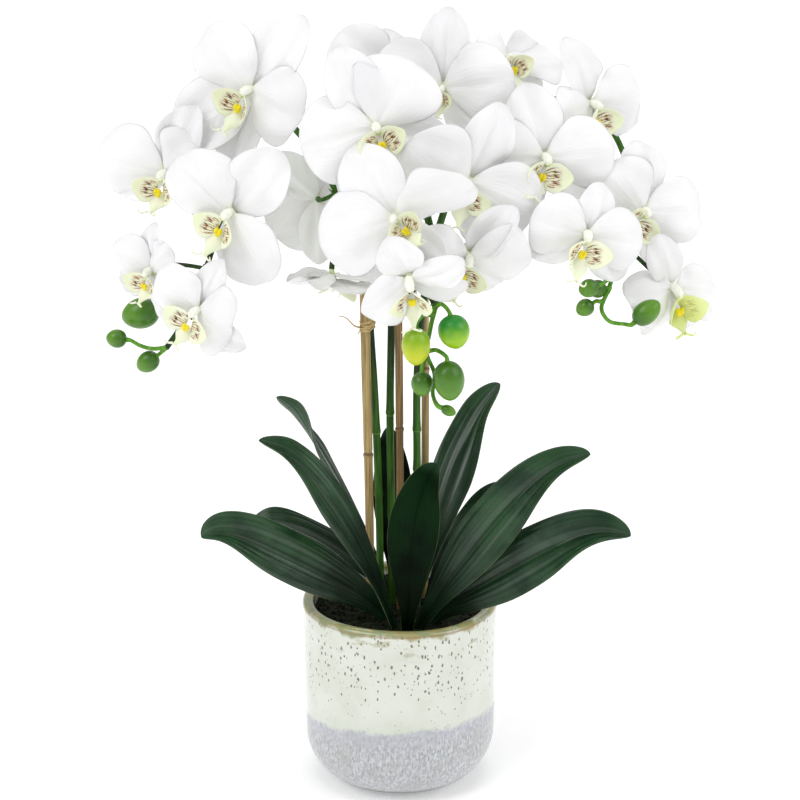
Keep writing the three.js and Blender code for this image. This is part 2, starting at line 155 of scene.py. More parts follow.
# Each flower: its spike, its middle, the way it looks (yaw to its right, pitch up, roll clockwise),
# its radius, and how far round from the top sepal its petals and lower sepals stand.
FLOWERS = [
    (0, [-98, -15, 499], [-22, 5, 36], 50, [70, -78], [116, -141]),
    (0, [-156, -8, 443], [-20, 0, 10], 46, [80, -80], [130, -130]),
    (0, [-110, -56, 426], [-15, 0, 43], 49, [88, -84], [114, -118]),
    (0, [-165, -30, 382], [-30, -5, 10], 31, [55, -70], [130, -130]),
    (0, [-131, -66, 364], [-25, -5, 32], 36, [78, -76], [106, -118]),
    (1, [-15, -62, 482], [0, 8, -28], 50, [78, -78], [135, -135]),
    (1, [-3, -98, 430.5], [-8, 8, -30], 49, [82, -80], [140, -150]),
    (1, [43, -61, 447], [8, -12, 25], 50, [90, -80], [130, -124]),
    (1, [43.6, -77, 402], [6, -22, 24], 42, [70, -78], [125, -125]),
    (1, [6, -122, 398], [0, -28, -25], 35, [82, -80], [130, -130]),
    (2, [28, -18, 501], [-8, 0, 3], 48, [78, -78], [130, -130]),
    (2, [72, 22, 514], [20, 28, 22], 36, [80, -80], [130, -130]),
    (2, [126, -8, 489], [34, 0, -24], 44, [98, -75], [130, -130]),
    (2, [93.4, -44, 459.7], [10, 2, -12], 46, [84, -78], [128, -130]),
    (2, [160, -30, 422], [20, 0, 26], 41, [64, -66], [128, -125]),
    (2, [120, -62, 413], [5, 0, 15], 37, [84, -80], [125, -122]),
    (2, [181, -35, 371], [22, -8, -6], 35, [100, -92], [150, -148]),
    (0, [-56, 26, 420], [180, 0, 50], 42, [80, -80], [130, -130]),
    (1, [-12, 8, 503], [-10, 5, 0], 40, [80, -80], [116, -140]),
    (0, [-45, -45, 380], [-30, -88, 0], 31, [80, -80], [130, -130]),
]

# The tepals that stand out from their flower's usual ones: how many degrees further clockwise, how much
# longer, how much wider, and how many degrees turned about their own length.
SHAPED = {
    1: {
        "dorsal": (0, 1.12, 1.1, 0), "left_petal": (4, 1.02, 0.88, 0), "right_petal": (6, 0.86, 0.95, 0),
        "left_sepal": (-14, 1.22, 1.4, 0), "right_sepal": (46, 1.0, 1.0, 0),
    },
    2: {
        "dorsal": (14, 1.0, 1.0, 0), "left_petal": (-6, 1.12, 1.0, 0), "right_petal": (-30, 0.7, 1.0, 0),
        "left_sepal": (20, 0.9, 1.0, 0), "right_sepal": (-50, 0.6, 1.0, 0),
    },
    3: {
        "dorsal": (0, 1.0, 1.25, 0), "left_petal": (-2, 0.98, 0.92, 0),
        "right_petal": (22, 1.06, 0.9, -18), "left_sepal": (16, 0.85, 1.0, 0),
        "right_sepal": (6, 0.98, 1.0, 0),
    },
    4: {"right_petal": (-12, 0.9, 0.85, 20)},
    5: {"dorsal": (-4, 1.0, 0.85, 0), "right_petal": (4, 0.76, 1.3, 0)},
    6: {"dorsal": (0, 1.05, 1.05, 0), "right_petal": (-24, 0.94, 1.1, 0)},
    7: {
        "dorsal": (-4, 1.0, 1.25, 0), "right_petal": (16, 1.12, 0.95, -50),
        "right_sepal": (34, 0.9, 1.0, 0),
    },
    9: {
        "dorsal": (18, 0.95, 1.0, 50), "left_petal": (-24, 0.94, 0.9, -32),
        "right_petal": (-8, 0.95, 1.0, 0), "right_sepal": (0, 0.8, 1.0, 0),
    },
    10: {
        "dorsal": (3, 0.84, 1.25, 0), "left_petal": (-26, 1.05, 0.8, -42),
        "right_petal": (9, 1.06, 0.54, 32),
    },
    12: {
        "dorsal": (50, 0.78, 1.3, 0), "left_petal": (-10, 0.7, 1.0, 0), "right_petal": (-6, 1.1, 1.0, 20),
    },
    13: {
        "dorsal": (2, 1.0, 0.95, 0), "left_petal": (-20, 0.8, 1.0, 0), "right_petal": (14, 0.92, 1.0, 0),
    },
    14: {"dorsal": (-4, 1.0, 1.2, 0), "right_petal": (12, 1.0, 0.95, 0)},
    15: {"dorsal": (-32, 1.05, 1.2, 0)},
    16: {"dorsal": (4, 0.85, 1.0, 0), "left_petal": (-6, 1.06, 1.05, 0)},
    17: {
        "dorsal": (-16, 1.1, 1.0, 10), "left_petal": (4, 1.06, 1.0, -45),
        "right_petal": (4, 0.96, 1.0, 25),
    },
    19: {"dorsal": (4, 0.78, 1.5, 0), "left_petal": (38, 1.06, 1.0, 0)},
}

# The lips that stand out: how many degrees further clockwise, how far the left and right side lobes point
# forwards, and how much larger.
LIPS = {
    1: (-15, 0.35, 0.85, 1.0), 3: (-20, 0.35, 0.85, 1.0), 4: (0, 0.3, 0.5, 0.95),
    5: (-4, 0.15, 0.2, 1.05), 6: (10, 0.6, 0.5, 1.0), 7: (-18, 0.9, 0.5, 0.9), 8: (-10, 0.5, 0.3, 0.9),
    10: (18, 0.85, 0.6, 1.1), 11: (0, 0.9, 0.9, 0.65),
    12: (-24, 0.9, 0.9, 0.95), 13: (34, 0.7, 0.35, 1.0), 14: (32, 0.85, 0.15, 1.05), 15: (26, 0.6, 0.2, 1.0),
    16: (4, 0.9, 0.2, 1.1), 17: (0, 0.5, 0.35, 1.25),
}
YOUNG = (17,)  # flowers whose lips are still green and half open
PITTED = (5, 10)  # flowers whose columns show two dark pits
LIP_SIZE = 27.0  # a lip's size is LIP_SIZE + LIP_SHARE x its flower's radius
LIP_SHARE = 0.4

# Each kind of tepal, in shares of its flower's radius: its length and half width; how far along it is
# widest on its upper and lower side; the powers of its outline before and after that; then the base
# height, rise and arc of its bow, its droop, its cup and the waves of its margin.
TEPALS = {
    "petal": (1.0, 0.56, 0.50, 0.64, 0.88, 2.1, 0.54, 0.02, 0.22, 0.62, 0.14, -0.12, 0.055),
    "sepal": (1.08, 0.35, 0.50, 0.50, 0.70, 2.0, 0.62, -0.09, 0.12, 0.70, 0.14, 0.06, 0.04),
}

# Each bud: its middle, the way its tip points, its length, its width and its finish.
BUDS = [
    ([-175, -22, 350], [-1, 0, -0.25], 26, 21, "green"),
    ([-190, -35, 336], [-1, 0.1, 0.1], 14, 12.5, "green"),
    ([-169, -40, 321], [-0.8, 0.2, -0.6], 17, 14, "green"),
    ([10, -118, 353], [0, 0, -1], 24, 18, "yellow"),
    ([34, -112, 361], [0.25, 0, -1], 22, 20, "turning"),
    ([31, -112, 329], [0.1, 0, -1], 26, 20, "green"),
    ([14, -106, 325], [0, 0, -1], 16, 14, "green"),
    ([31, -108, 308], [1, -0.2, -0.4], 10, 7, "green"),
    ([122, -66, 378], [-0.9, -0.3, -0.2], 13, 12, "green"),
    ([129, -53, 374.5], [-1, 0, -0.1], 12.5, 12, "green"),
    ([121, -58, 363], [-0.8, 0, -0.5], 12.5, 11.5, "green"),
    ([161, -62, 361], [0.75, 0, 0.65], 21, 15, "green"),
]

# Each finish of the buds: its colours at the stalk and at the tip.
BUD_FINISHES = {
    "green": ("#386A0A", "#568A0E"),
    "yellow": ("#84AE0C", "#C4CE0E"),
    "turning": ("#188A20", "#98C406"),
}

# Each paint of the leaves: the two fresh and the two deep greens it is mottled with, its specular level,
# the strength of its satin coat and that of its painted sheen, grey bands that stand for highlights.
GREENS = ("#13321A", "#224B26"), ("#07180A", "#0F2814")
LEAF_PAINTS = {
    "moulded_leaf": (*GREENS, 0.08, 0.62, 0.15),
    "moulded_leaf_sheen_painted": (*GREENS, 0.08, 0.62, 0.6),
    # painted shade: a darker and duller copy of the paint, for the inner leaves in shade
    "moulded_leaf_shaded": (("#030D05", "#09260D"), ("#020903", "#061507"), 0.03, 0.03, 0.0),
}

# The stage: half the floor's side in metres, the camera's lens and sensor in millimetres, and each lamp:
# its name, the way to it, how many degrees wide it looks and its strength against the strongest.
FLOOR_HALF = 16.0
FAR = 60.0  # how many metres the camera sees
LENS_MM = 86.175
SENSOR_MM = 36.0
LAMPS = [
    ("key_light", (-0.75, -0.55, 0.95), 36.0, 1.0),
    ("fill_light", (0.95, -0.35, 0.75), 45.0, 0.88),
    ("back_light", (0.1, 0.8, 1.0), 45.0, 0.45),
    ("strip_light", (-0.8, -0.55, 0.1), 25.0, 0.1),
    ("top_light", (-0.05, -0.27, 0.93), 24.0, 0.22),
]


# ------------------------------------------------------------------ arrays and meshes
def unit(v):
    """Each vector divided by its length."""
    return v / np.maximum(np.linalg.norm(v, axis=-1, keepdims=True), 1e-12)


def smooth(x, low, high):
    """0 below low, 1 above high and an S curve, 3x^2 - 2x^3, between."""
    x = np.clip((x - low) / (high - low), 0.0, 1.0)
    return x * x * (3.0 - 2.0 * x)


def even_then_close(count):
    """count numbers from -1 to 1, closer together near the ends: two thirds even, one third a sine."""
    even = np.linspace(-1.0, 1.0, count)
    return 0.62 * even + 0.38 * np.sin(even * math.pi / 2)


def capped_rings(rings, first, last, lay, lay_first, lay_last):
    """A closed body of rings (rows, columns, 3): each point joins the next round its ring and the one
    above it, and the end rings fan to the points first and last. lay is carried with every point."""
    rows, columns = rings.shape[:2]
    index = np.arange(rows * columns).reshape(rows, columns)
    beside = np.roll(index, -1, axis=1)
    quads = np.stack([index[:-1], beside[:-1], beside[1:], index[1:]], -1).reshape(-1, 4)
    low, high = rows * columns, rows * columns + 1
    foot = np.stack([np.full(columns, low), beside[0], index[0]], -1)
    head = np.stack([np.full(columns, high), index[-1], beside[-1]], -1)
    points = np.vstack([rings.reshape(-1, 3), first, last])
    lays = np.vstack([lay.reshape(-1, 3), lay_first, lay_last])
    return points, lays, quads, np.vstack([foot, head])


def skin(middle, half, u, s):
    """A closed skin round a curved sheet. middle (rows, columns, 3) is the sheet, its first and last rows
    single points; the faces stand half (rows, columns) off it, along the cross product of the steps
    across and along, and meet at the side edges. lay is (u, s, 1 in front or -1 behind)."""
    normal = unit(np.cross(np.gradient(middle, axis=1), np.gradient(middle, axis=0)))
    front = middle + normal * half[..., None]
    back = middle - normal * half[..., None]
    ones = np.ones_like(half)
    lay_front = np.stack([u * ones, s * ones, ones], -1)
    lay_back = np.stack([u * ones, s * ones, -ones], -1)
    rings = np.concatenate([front[1:-1], back[1:-1, -2:0:-1]], axis=1)
    lay = np.concatenate([lay_front[1:-1], lay_back[1:-1, -2:0:-1]], axis=1)
    return capped_rings(rings, middle[0, 0], middle[-1, 0], lay, [[0, 0, 0]], [[1, 0, 0]])


def sheet_grid(rows, columns):
    """u (rows, 1) from 0 to 1, closer together at both ends, s (1, columns) from -1 to 1, and the share
    of the full thickness there: 1 inside, falling to 0 at the rim like a rounded edge."""
    u = (0.5 - 0.5 * np.cos(np.linspace(0.0, math.pi, rows)))[:, None]
    s = even_then_close(columns)[None, :]
    share = np.sqrt(np.clip(1 - s**6, 0, 1)) * np.sqrt(np.clip(1 - np.abs(2 * u - 1) ** 10, 0, 1))
    return u, s, share


def path_through(points, per_span=14):
    """A smooth path through points: each span is the cubic whose end slopes are the centripetal
    Catmull-Rom ones, with the root of each gap as its share of the parameter."""
    p = np.asarray(points, float)
    p = np.vstack([2 * p[0] - p[1], p, 2 * p[-1] - p[-2]])
    gap = np.sqrt(np.linalg.norm(np.diff(p, axis=0), axis=1))[:, None, None]
    a, b, c, d = (p[i : len(p) - 3 + i, None] for i in range(4))
    g0, g1, g2 = gap[:-2], gap[1:-1], gap[2:]
    leave = g1 * ((b - a) / g0 - (c - a) / (g0 + g1) + (c - b) / g1)
    arrive = g1 * ((c - b) / g1 - (d - b) / (g1 + g2) + (d - c) / g2)
    x = np.linspace(0, 1, per_span, endpoint=False)[None, :, None]
    spans = (
        b * (2 * x**3 - 3 * x**2 + 1) + leave * (x**3 - 2 * x**2 + x)
        + c * (3 * x**2 - 2 * x**3) + arrive * (x**3 - x**2)
    )
    return np.vstack([spans.reshape(-1, 3), p[-2]])


def evenly(path, step):
    """The same path with stations one step apart, and how far along it each one is."""
    run = np.concatenate([[0.0], np.cumsum(np.linalg.norm(np.diff(path, axis=0), axis=1))])
    along = np.linspace(0.0, run[-1], max(4, int(run[-1] / step) + 1))
    return np.stack([np.interp(along, run, path[:, k]) for k in range(3)], -1), along


def carried_sides(path):
    """The heading, side and top at each station: the side is the last one with its share along the new
    heading taken off, and the top is heading x side."""
    heading = unit(np.gradient(path, axis=0))
    side = np.empty_like(path)
    seed = np.eye(3)[np.argmin(np.abs(heading[0]))]
    for i, way in enumerate(heading):
        seed = unit(seed - way * (seed @ way))
        side[i] = seed
    return heading, side, np.cross(heading, side)


def rod(path, radius, sides=14, flat=1.0, ribs=0.0, rib_count=0):
    """A round rod along a path: each ring is the circle of that station's radius across the heading,
    flat times as deep as wide, with ribs standing up by ribs times the radius. lay is (share of the
    length, share of the turn, 0)."""
    _, side, top = carried_sides(path)
    radius = np.broadcast_to(np.asarray(radius, float), (len(path),))
    turn = np.arange(sides) * 2 * math.pi / sides
    swell = 1 + ribs * np.cos(rib_count * turn)
    ring = (np.cos(turn) * swell)[None, :, None] * side[:, None]
    ring = ring + (flat * np.sin(turn) * swell)[None, :, None] * top[:, None]
    rings = path[:, None] + radius[:, None, None] * ring
    u = np.linspace(0, 1, len(path))[:, None]
    lay = np.stack(np.broadcast_arrays(u, (turn / (2 * math.pi))[None, :], 0.0), -1)
    return capped_rings(rings, path[0], path[-1], lay, [[0, 0, 0]], [[1, 0, 0]])


def turned(profile, sides, wobble=None):
    """A profile of [radius, height] turned about Z, its first and last points on the axis: each point
    goes round at its radius, to which wobble (rows, sides, 3) is added."""
    profile = np.asarray(profile, float)
    turn = np.arange(sides) * 2 * math.pi / sides
    r, z = profile[1:-1, 0][:, None], profile[1:-1, 1][:, None]
    rings = np.stack(np.broadcast_arrays(r * np.cos(turn), r * np.sin(turn), z), -1)
    if wobble is not None:
        rings = rings + wobble(rings)
    u = np.linspace(0, 1, len(rings))[:, None]
    lay = np.stack(np.broadcast_arrays(u, turn[None, :] / (2 * math.pi), 0.0), -1)
    ends = [[0, 0, profile[0, 1]]], [[0, 0, profile[-1, 1]]]
    return capped_rings(rings, *ends, lay, [[0, 0, 0]], [[1, 0, 0]])


def ball(centre, axes, rows=10, columns=14):
    """An ellipsoid: centre + cos(t) sin(p) a + sin(t) sin(p) b - cos(p) c, for its three half axes."""
    centre, (a, b, c) = np.asarray(centre, float), np.asarray(axes, float)
    p = np.linspace(0, math.pi, rows + 2)[1:-1, None, None]
    t = (np.arange(columns) * 2 * math.pi / columns)[None, :, None]
    rings = centre + np.sin(p) * (np.cos(t) * a + np.sin(t) * b) - np.cos(p) * c
    lay = np.stack(np.broadcast_arrays(p[..., 0] / math.pi, t[..., 0] / (2 * math.pi), 0.0), -1)
    return capped_rings(rings, centre - c, centre + c, lay, [[0, 0, 0]], [[1, 0, 0]])


def make_piece(name, bodies, replaced, materials):
    """One object from closed bodies in millimetres, each (points, lay, quads, triangles, material)."""
    points, lays, faces, picks, start = [], [], [], [], 0
    for body_points, body_lay, quads, triangles, pick in bodies:
        points.append(body_points)
        lays.append(body_lay)
        faces += (quads + start).tolist() + (triangles + start).tolist()
        picks.append(np.full(len(quads) + len(triangles), pick))
        start += len(body_points)
    mesh = bpy.data.meshes.new(name)
    mesh.from_pydata((np.vstack(points) * MM).tolist(), [], faces)
    lay = mesh.attributes.new("lay", "FLOAT_VECTOR", "POINT")
    lay.data.foreach_set("vector", np.vstack(lays).astype(np.float32).ravel())
    mesh.polygons.foreach_set("material_index", np.concatenate(picks).astype(np.int32))
    mesh.polygons.foreach_set("use_smooth", np.ones(len(mesh.polygons), bool))
    for material in materials:
        mesh.materials.append(material)
    mesh.update()
    piece = bpy.data.objects.new(name, mesh)
    bpy.context.scene.collection.objects.link(piece)
    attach(piece, "root")
    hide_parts(*replaced)
    return piece


# ------------------------------------------------------------------ materials
def linear(code):
    """An sRGB hex colour as linear red, green, blue and alpha 1."""
    parts = [int(code[i : i + 2], 16) / 255 for i in (1, 3, 5)]
    parts = [p / 12.92 if p <= 0.04045 else ((p + 0.055) / 1.055) ** 2.4 for p in parts]
    return (*parts, 1.0)


# Settings that many nodes share.
COLOURS = {"data_type": "RGBA"}
TINTED = {"data_type": "RGBA", "blend_type": "MULTIPLY"}
S_CURVE = {"interpolation_type": "SMOOTHSTEP"}
PLUS, MINUS = {"operation": "ADD"}, {"operation": "SUBTRACT"}
TIMES, TIMES_PLUS = {"operation": "MULTIPLY"}, {"operation": "MULTIPLY_ADD"}
ABSOLUTE = {"operation": "ABSOLUTE"}


def add_node(tree, kind, settings, *inputs, **named):
    """Adds one node. settings are its own properties. Its inputs in use are given in order or by name, with _
    for a space: each is a value, a hex colour, or the socket or node that it is joined to."""
    node = tree.nodes.new("ShaderNode" + kind)
    for name, value in settings.items():
        setattr(node, name, value)
    given = list(zip((socket for socket in node.inputs if socket.enabled), inputs))
    given += [(node.inputs[name.replace("_", " ")], value) for name, value in named.items()]
    for socket, value in given:
        if isinstance(value, bpy.types.Node):
            value = next(out for out in value.outputs if out.enabled)
        if isinstance(value, bpy.types.NodeSocket):
            tree.links.new(value, socket)
        else:
            socket.default_value = linear(value) if isinstance(value, str) else value
    return node


def new_material(name):
    """An empty material, and add_node with its node tree filled in."""
    material = bpy.data.materials.new(name)
    material.use_nodes = True
    material.node_tree.nodes.clear()
    return material, functools.partial(add_node, material.node_tree)


def show(add, **looks):
    """Shows a material by its shader, whose looks are named as its inputs are."""
    add("OutputMaterial", {}, add("BsdfPrincipled", {}, **looks))


def lay_of(add):
    """The piece's own lay, apart: share along, share across and side."""
    attribute = add("Attribute", {"attribute_name": "lay"})
    return add("SeparateXYZ", {}, attribute.outputs["Vector"]).outputs


def place_of(add):
    """The point in metres in the frame, whole and apart."""
    coordinate = add("TexCoord", {}).outputs["Object"]
    return coordinate, add("SeparateXYZ", {}, coordinate).outputs


def noise_at(add, where, per_metre, detail=3.0, rough=0.55, stretch=(1, 1, 1)):
    """Noise with that many lumps to the metre, drawn out along the axes by stretch."""
    spread = add("Mapping", {}, where, Scale=tuple(per_metre / k for k in stretch))
    return add("TexNoise", {}, spread, 1.0, detail, rough)


def noise_on(add, lay, along, across, detail, rough=0.5, drift=0.0):
    """Noise that follows the surface, with that many lumps along it and across each half of it, moved
    across by drift."""
    u = add("Math", TIMES, lay["X"], along)
    s = add("Math", TIMES_PLUS, lay["Y"], across, drift)
    return add("TexNoise", {}, add("CombineXYZ", {}, u, s), 1.0, detail, rough)


def laid_over(add, under, over, value, low, high, first=0.0, last=1.0):
    """The colour under with over laid on it. over's share is first where value is low, last where it is
    high, and follows an S curve between."""
    return add("Mix", COLOURS, add("MapRange", S_CURVE, value, low, high, first, last), under, over)


def coated_petal_cloth():
    """Woven polyester petals, coated and pressed in a mould: matt and near white, letting a little light
    through, with faint pressed veins that fan from the base, a green throat and a creamier back."""
    material, add = new_material("coated_petal_cloth")
    lay = lay_of(add)
    where, _ = place_of(add)
    colour = laid_over(add, "#F9F8FA", "#F2F1F3", noise_at(add, where, 30, 2), 0.3, 0.7)
    colour = laid_over(add, colour, "#EAF0CC", lay["X"], 0.02, 0.14, 0.6, 0.0)
    colour = laid_over(add, colour, "#EEF0E8", lay["Z"], -0.2, 0.2, 0.5, 0.0)
    colour = add("Mix", TINTED, 1.0, colour, (*bpy.context.scene.orchid_flowers.petal, 1.0))
    veins = noise_on(add, lay, 2.2, 17.0, 2.0)
    show(
        add, Base_Color=colour, Normal=add("Bump", {}, 0.9, 0.5 * MM, Height=veins), Roughness=0.6, IOR=1.45,
        Subsurface_Weight=0.2, Subsurface_Radius=(1.0, 1.0, 1.0), Subsurface_Scale=0.004, Sheen_Weight=0.15,
        Sheen_Roughness=0.5,
    )
    return material


def lip_cloth(name, ground, rim, marks):
    """The same coated cloth printed for a lip: a pale ground, a paler rim and, on the inner face, a tan
    patch near the base crossed by rust brown strokes 1 mm wide that run outwards."""
    material, add = new_material(name)
    lay = lay_of(add)
    where, _ = place_of(add)
    swirl = noise_at(add, where, 220, 2)
    strokes = noise_on(add, lay, 3.38, 7.8, 2.0, 0.6, drift=add("Math", TIMES, swirl, 1.17))
    # the print covers the inner face, out to a ragged end and short of the sides
    inside = add("MapRange", S_CURVE, lay["Z"], 0.0, 0.5)
    ragged = add("Math", TIMES_PLUS, strokes, 0.35, lay["X"])
    reach = add("MapRange", S_CURVE, ragged, 0.66, 0.88, 1.0, 0.0)
    sides = add("MapRange", S_CURVE, add("Math", ABSOLUTE, lay["Y"]), 0.55, 0.78, marks, 0.0)
    print_ = add("Math", TIMES, add("Math", TIMES, inside, reach), sides)
    tan = add("Math", TIMES, print_, add("MapRange", S_CURVE, strokes, 0.4, 0.56, 0.0, 0.5))
    dark = add("Math", TIMES, print_, add("MapRange", S_CURVE, strokes, 0.51, 0.585))
    rust = laid_over(add, "#96603C", "#5C321E", swirl, 0.35, 0.6)
    colour = laid_over(add, ground, rim, lay["X"], 0.35, 0.95)
    colour = add("Mix", COLOURS, tan, colour, "#CFA877")
    colour = add("Mix", COLOURS, dark, colour, rust)
    bump = add("Bump", {}, 0.5, 0.3 * MM, Height=strokes)
    show(
        add, Base_Color=colour, Normal=bump, Roughness=0.5, IOR=1.45, Subsurface_Weight=0.15,
        Subsurface_Scale=0.002,
    )
    return material


def plain_moulding(name, light, dark, roughness):
    """Small moulded parts, such as the column and the callus: one colour, mottled a little, with the soft
    grain of the mould."""
    material, add = new_material(name)
    where, _ = place_of(add)
    grain = noise_at(add, where, 600, 3)
    colour = laid_over(add, light, dark, grain, 0.35, 0.65)
    bump = add("Bump", {}, 0.6, 0.1 * MM, Height=grain)
    show(add, Base_Color=colour, Normal=bump, Roughness=roughness, IOR=1.45)
    return material


def moulded_leaf(name, fresh_tones, deep_tones, gloss, satin, painted_sheen_share):
    """Leaves moulded in soft polyethylene: nearly black green at the foot, fresher green further out, the
    dark foot being painted shade where the leaves crowd together; a darker line down the midrib, painted
    shade in its groove; a paler, greyer tip, a painted highlight; with a satin coat, pressed veins along
    their length, a thin pale trimmed edge, a duller underside and painted sheen as strong as the last
    argument
    says: silvery grey long bands 5 mm wide that stand for highlights."""
    material, add = new_material(name)
    lay = lay_of(add)
    where, _ = place_of(add)
    across = add("Math", ABSOLUTE, lay["Y"])
    patches = noise_at(add, where, 30, 4)
    veins = noise_on(add, lay, 1.6, 34.0, 4.0)
    fresh = laid_over(add, *fresh_tones, patches, 0.35, 0.65)
    deep = laid_over(add, *deep_tones, patches, 0.35, 0.65)
    # painted shade: the deep greens at the foot, where the leaves crowd together, give way to the fresh ones
    # further out
    colour = laid_over(add, deep, fresh, lay["X"], 0.15, 0.65)
    # painted shade: a darker line down the midrib, in its groove
    colour = laid_over(add, colour, deep_tones[0], across, 0.0, 0.06, 0.7, 0.0)
    colour = laid_over(add, colour, deep_tones[1], veins, 0.5, 0.7, 0.0, 0.55)
    # painted highlight: the tip paler and greyer
    colour = laid_over(add, colour, "#4A6E4E", lay["X"], 0.9, 1.0, 0.0, 0.3)
    colour = laid_over(add, colour, "#3B5A40", lay["Z"], -0.3, 0.3, 0.75, 0.0)
    # painted sheen: silvery grey bands along the leaf that stand for highlights, as strong as the last
    # argument says, from halfway out
    bands = add("Math", TIMES_PLUS, veins, 0.25, noise_on(add, lay, 0.9, 2.4, 1.5))
    bands = add("MapRange", S_CURVE, bands, 0.58, 0.74)
    bands = add("Math", TIMES, bands, add("MapRange", S_CURVE, lay["X"], 0.2, 0.55, 0.0, painted_sheen_share))
    colour = add("Mix", COLOURS, bands, colour, "#8C958E")
    colour = laid_over(add, colour, "#6C7A54", across, 0.965, 0.99, 0.0, 0.7)
    colour = add("Mix", TINTED, 1.0, colour, (*bpy.context.scene.orchid_leaves.tint, 1.0))
    coat = add("MapRange", S_CURVE, lay["X"], 0.1, 0.5, 0.0, satin)
    coat = add("Math", TIMES, coat, add("MapRange", S_CURVE, patches, 0.3, 0.6, 0.5, 1.0))
    show(
        add, Base_Color=colour, Normal=add("Bump", {}, 0.8, 0.7 * MM, Height=veins), IOR=1.5,
        Roughness=add("MapRange", S_CURVE, veins, 0.3, 0.7, 0.26, 0.4), Specular_IOR_Level=gloss,
        Coat_Weight=coat, Coat_Roughness=0.22,
    )
    return material


def coated_stem(name, low_tones, high_tones):
    """Wire stems in a moulded plastic skin, with fine ridges along them and dull brown scuffs: the low tones
    up to 240 mm and again above 430 mm, and the darker high tones between, painted shade where the stems
    run under the flowers."""
    material, add = new_material(name)
    where, apart = place_of(add)
    ridges = noise_at(add, where, 420, 2, stretch=(1, 1, 12))
    low = laid_over(add, *low_tones, ridges, 0.35, 0.65)
    high = laid_over(add, *high_tones, ridges, 0.35, 0.65)
    # painted shade: darker between 240 and 430 mm, where the stems run under the flowers
    colour = laid_over(add, low, high, apart["Z"], 0.24, 0.33)
    colour = laid_over(add, colour, low, apart["Z"], 0.39, 0.43, 0.0, 0.8)
    colour = laid_over(add, colour, "#6A5A34", noise_at(add, where, 120, 4), 0.66, 0.74, 0.0, 0.5)
    colour = laid_over(add, colour, "#8DB25A", lay_of(add)["Z"], 0.5, 1.0)
    bump = add("Bump", {}, 0.7, 0.25 * MM, Height=ridges)
    show(add, Base_Color=colour, Normal=bump, Roughness=0.5, IOR=1.5, Specular_IOR_Level=0.3)
    return material


def moulded_bud(name, base, tip):
    """Buds moulded in soft plastic: satin, one green running into another towards the tip, with the faint
    dimples of the mould."""
    material, add = new_material(name)
    where, _ = place_of(add)
    share = add("Math", TIMES_PLUS, noise_at(add, where, 90, 3), 0.5, lay_of(add)["X"])
    colour = laid_over(add, base, tip, share, 0.35, 1.05)
    bump = add("Bump", {}, 0.5, 0.12 * MM, Height=noise_at(add, where, 500, 2))
    show(
        add, Base_Color=colour, Normal=bump, Roughness=0.34, IOR=1.5, Subsurface_Weight=0.12,
        Subsurface_Scale=0.003, Coat_Weight=0.1,
    )
    return material


def split_bamboo(name, light, dark):
    """Thin bamboo canes, cut and dried: straw to brown in long fibres, darker at the rings and in the
    weathered patches, with a dull skin of wax."""
    material, add = new_material(name)
    where, _ = place_of(add)
    fibres = noise_at(add, where, 900, 3, stretch=(1, 1, 40))
    weather = noise_at(add, where, 70, 4, stretch=(1, 1, 2.5))
    colour = laid_over(add, light, dark, fibres, 0.3, 0.7)
    colour = laid_over(add, colour, dark, weather, 0.52, 0.72, 0.0, 0.65)
    colour = laid_over(add, colour, "#54391F", lay_of(add)["Z"], 0.2, 0.9, 0.0, 0.8)
    show(add, Base_Color=colour, Normal=add("Bump", {}, 0.8, 0.3 * MM, Height=fibres), Roughness=0.5, IOR=1.5)
    return material


def raffia():
    """Dried raffia leaf: pale tan flat fibres, dull, with darker strands between them."""
    material, add = new_material("raffia")
    strands = noise_on(add, lay_of(add), 30.0, 14.0, 3.0)
    colour = laid_over(add, "#DCC48E", "#A88A56", strands, 0.35, 0.65)
    bump = add("Bump", {}, 0.8, 0.3 * MM, Height=strands)
    show(add, Base_Color=colour, Normal=bump, Roughness=0.85, IOR=1.4)
    return material


def potting_moss():
    """Peat and moss under the leaves: nearly black, with olive and brown crumbs, and no shine."""
    material, add = new_material("potting_moss")
    where, _ = place_of(add)
    crumbs = noise_at(add, where, 260, 5, 0.7)
    colour = laid_over(add, "#0A0D07", "#222A16", crumbs, 0.38, 0.66)
    colour = laid_over(add, colour, "#33291A", noise_at(add, where, 140, 3), 0.6, 0.7, 0.0, 0.6)
    bump = add("Bump", {}, 0.9, 1.2 * MM, Height=crumbs)
    show(add, Base_Color=colour, Normal=bump, Roughness=0.95, Specular_IOR_Level=0.2)
    return material


def between(add, value, rise, fall, most=1.0):
    """most between two heights and 0 outside them: rise and fall each give where its S curve starts and
    ends."""
    up = add("MapRange", S_CURVE, value, *rise, 0.0, most)
    return add("Math", TIMES, up, add("MapRange", S_CURVE, value, *fall, 1.0, 0.0))


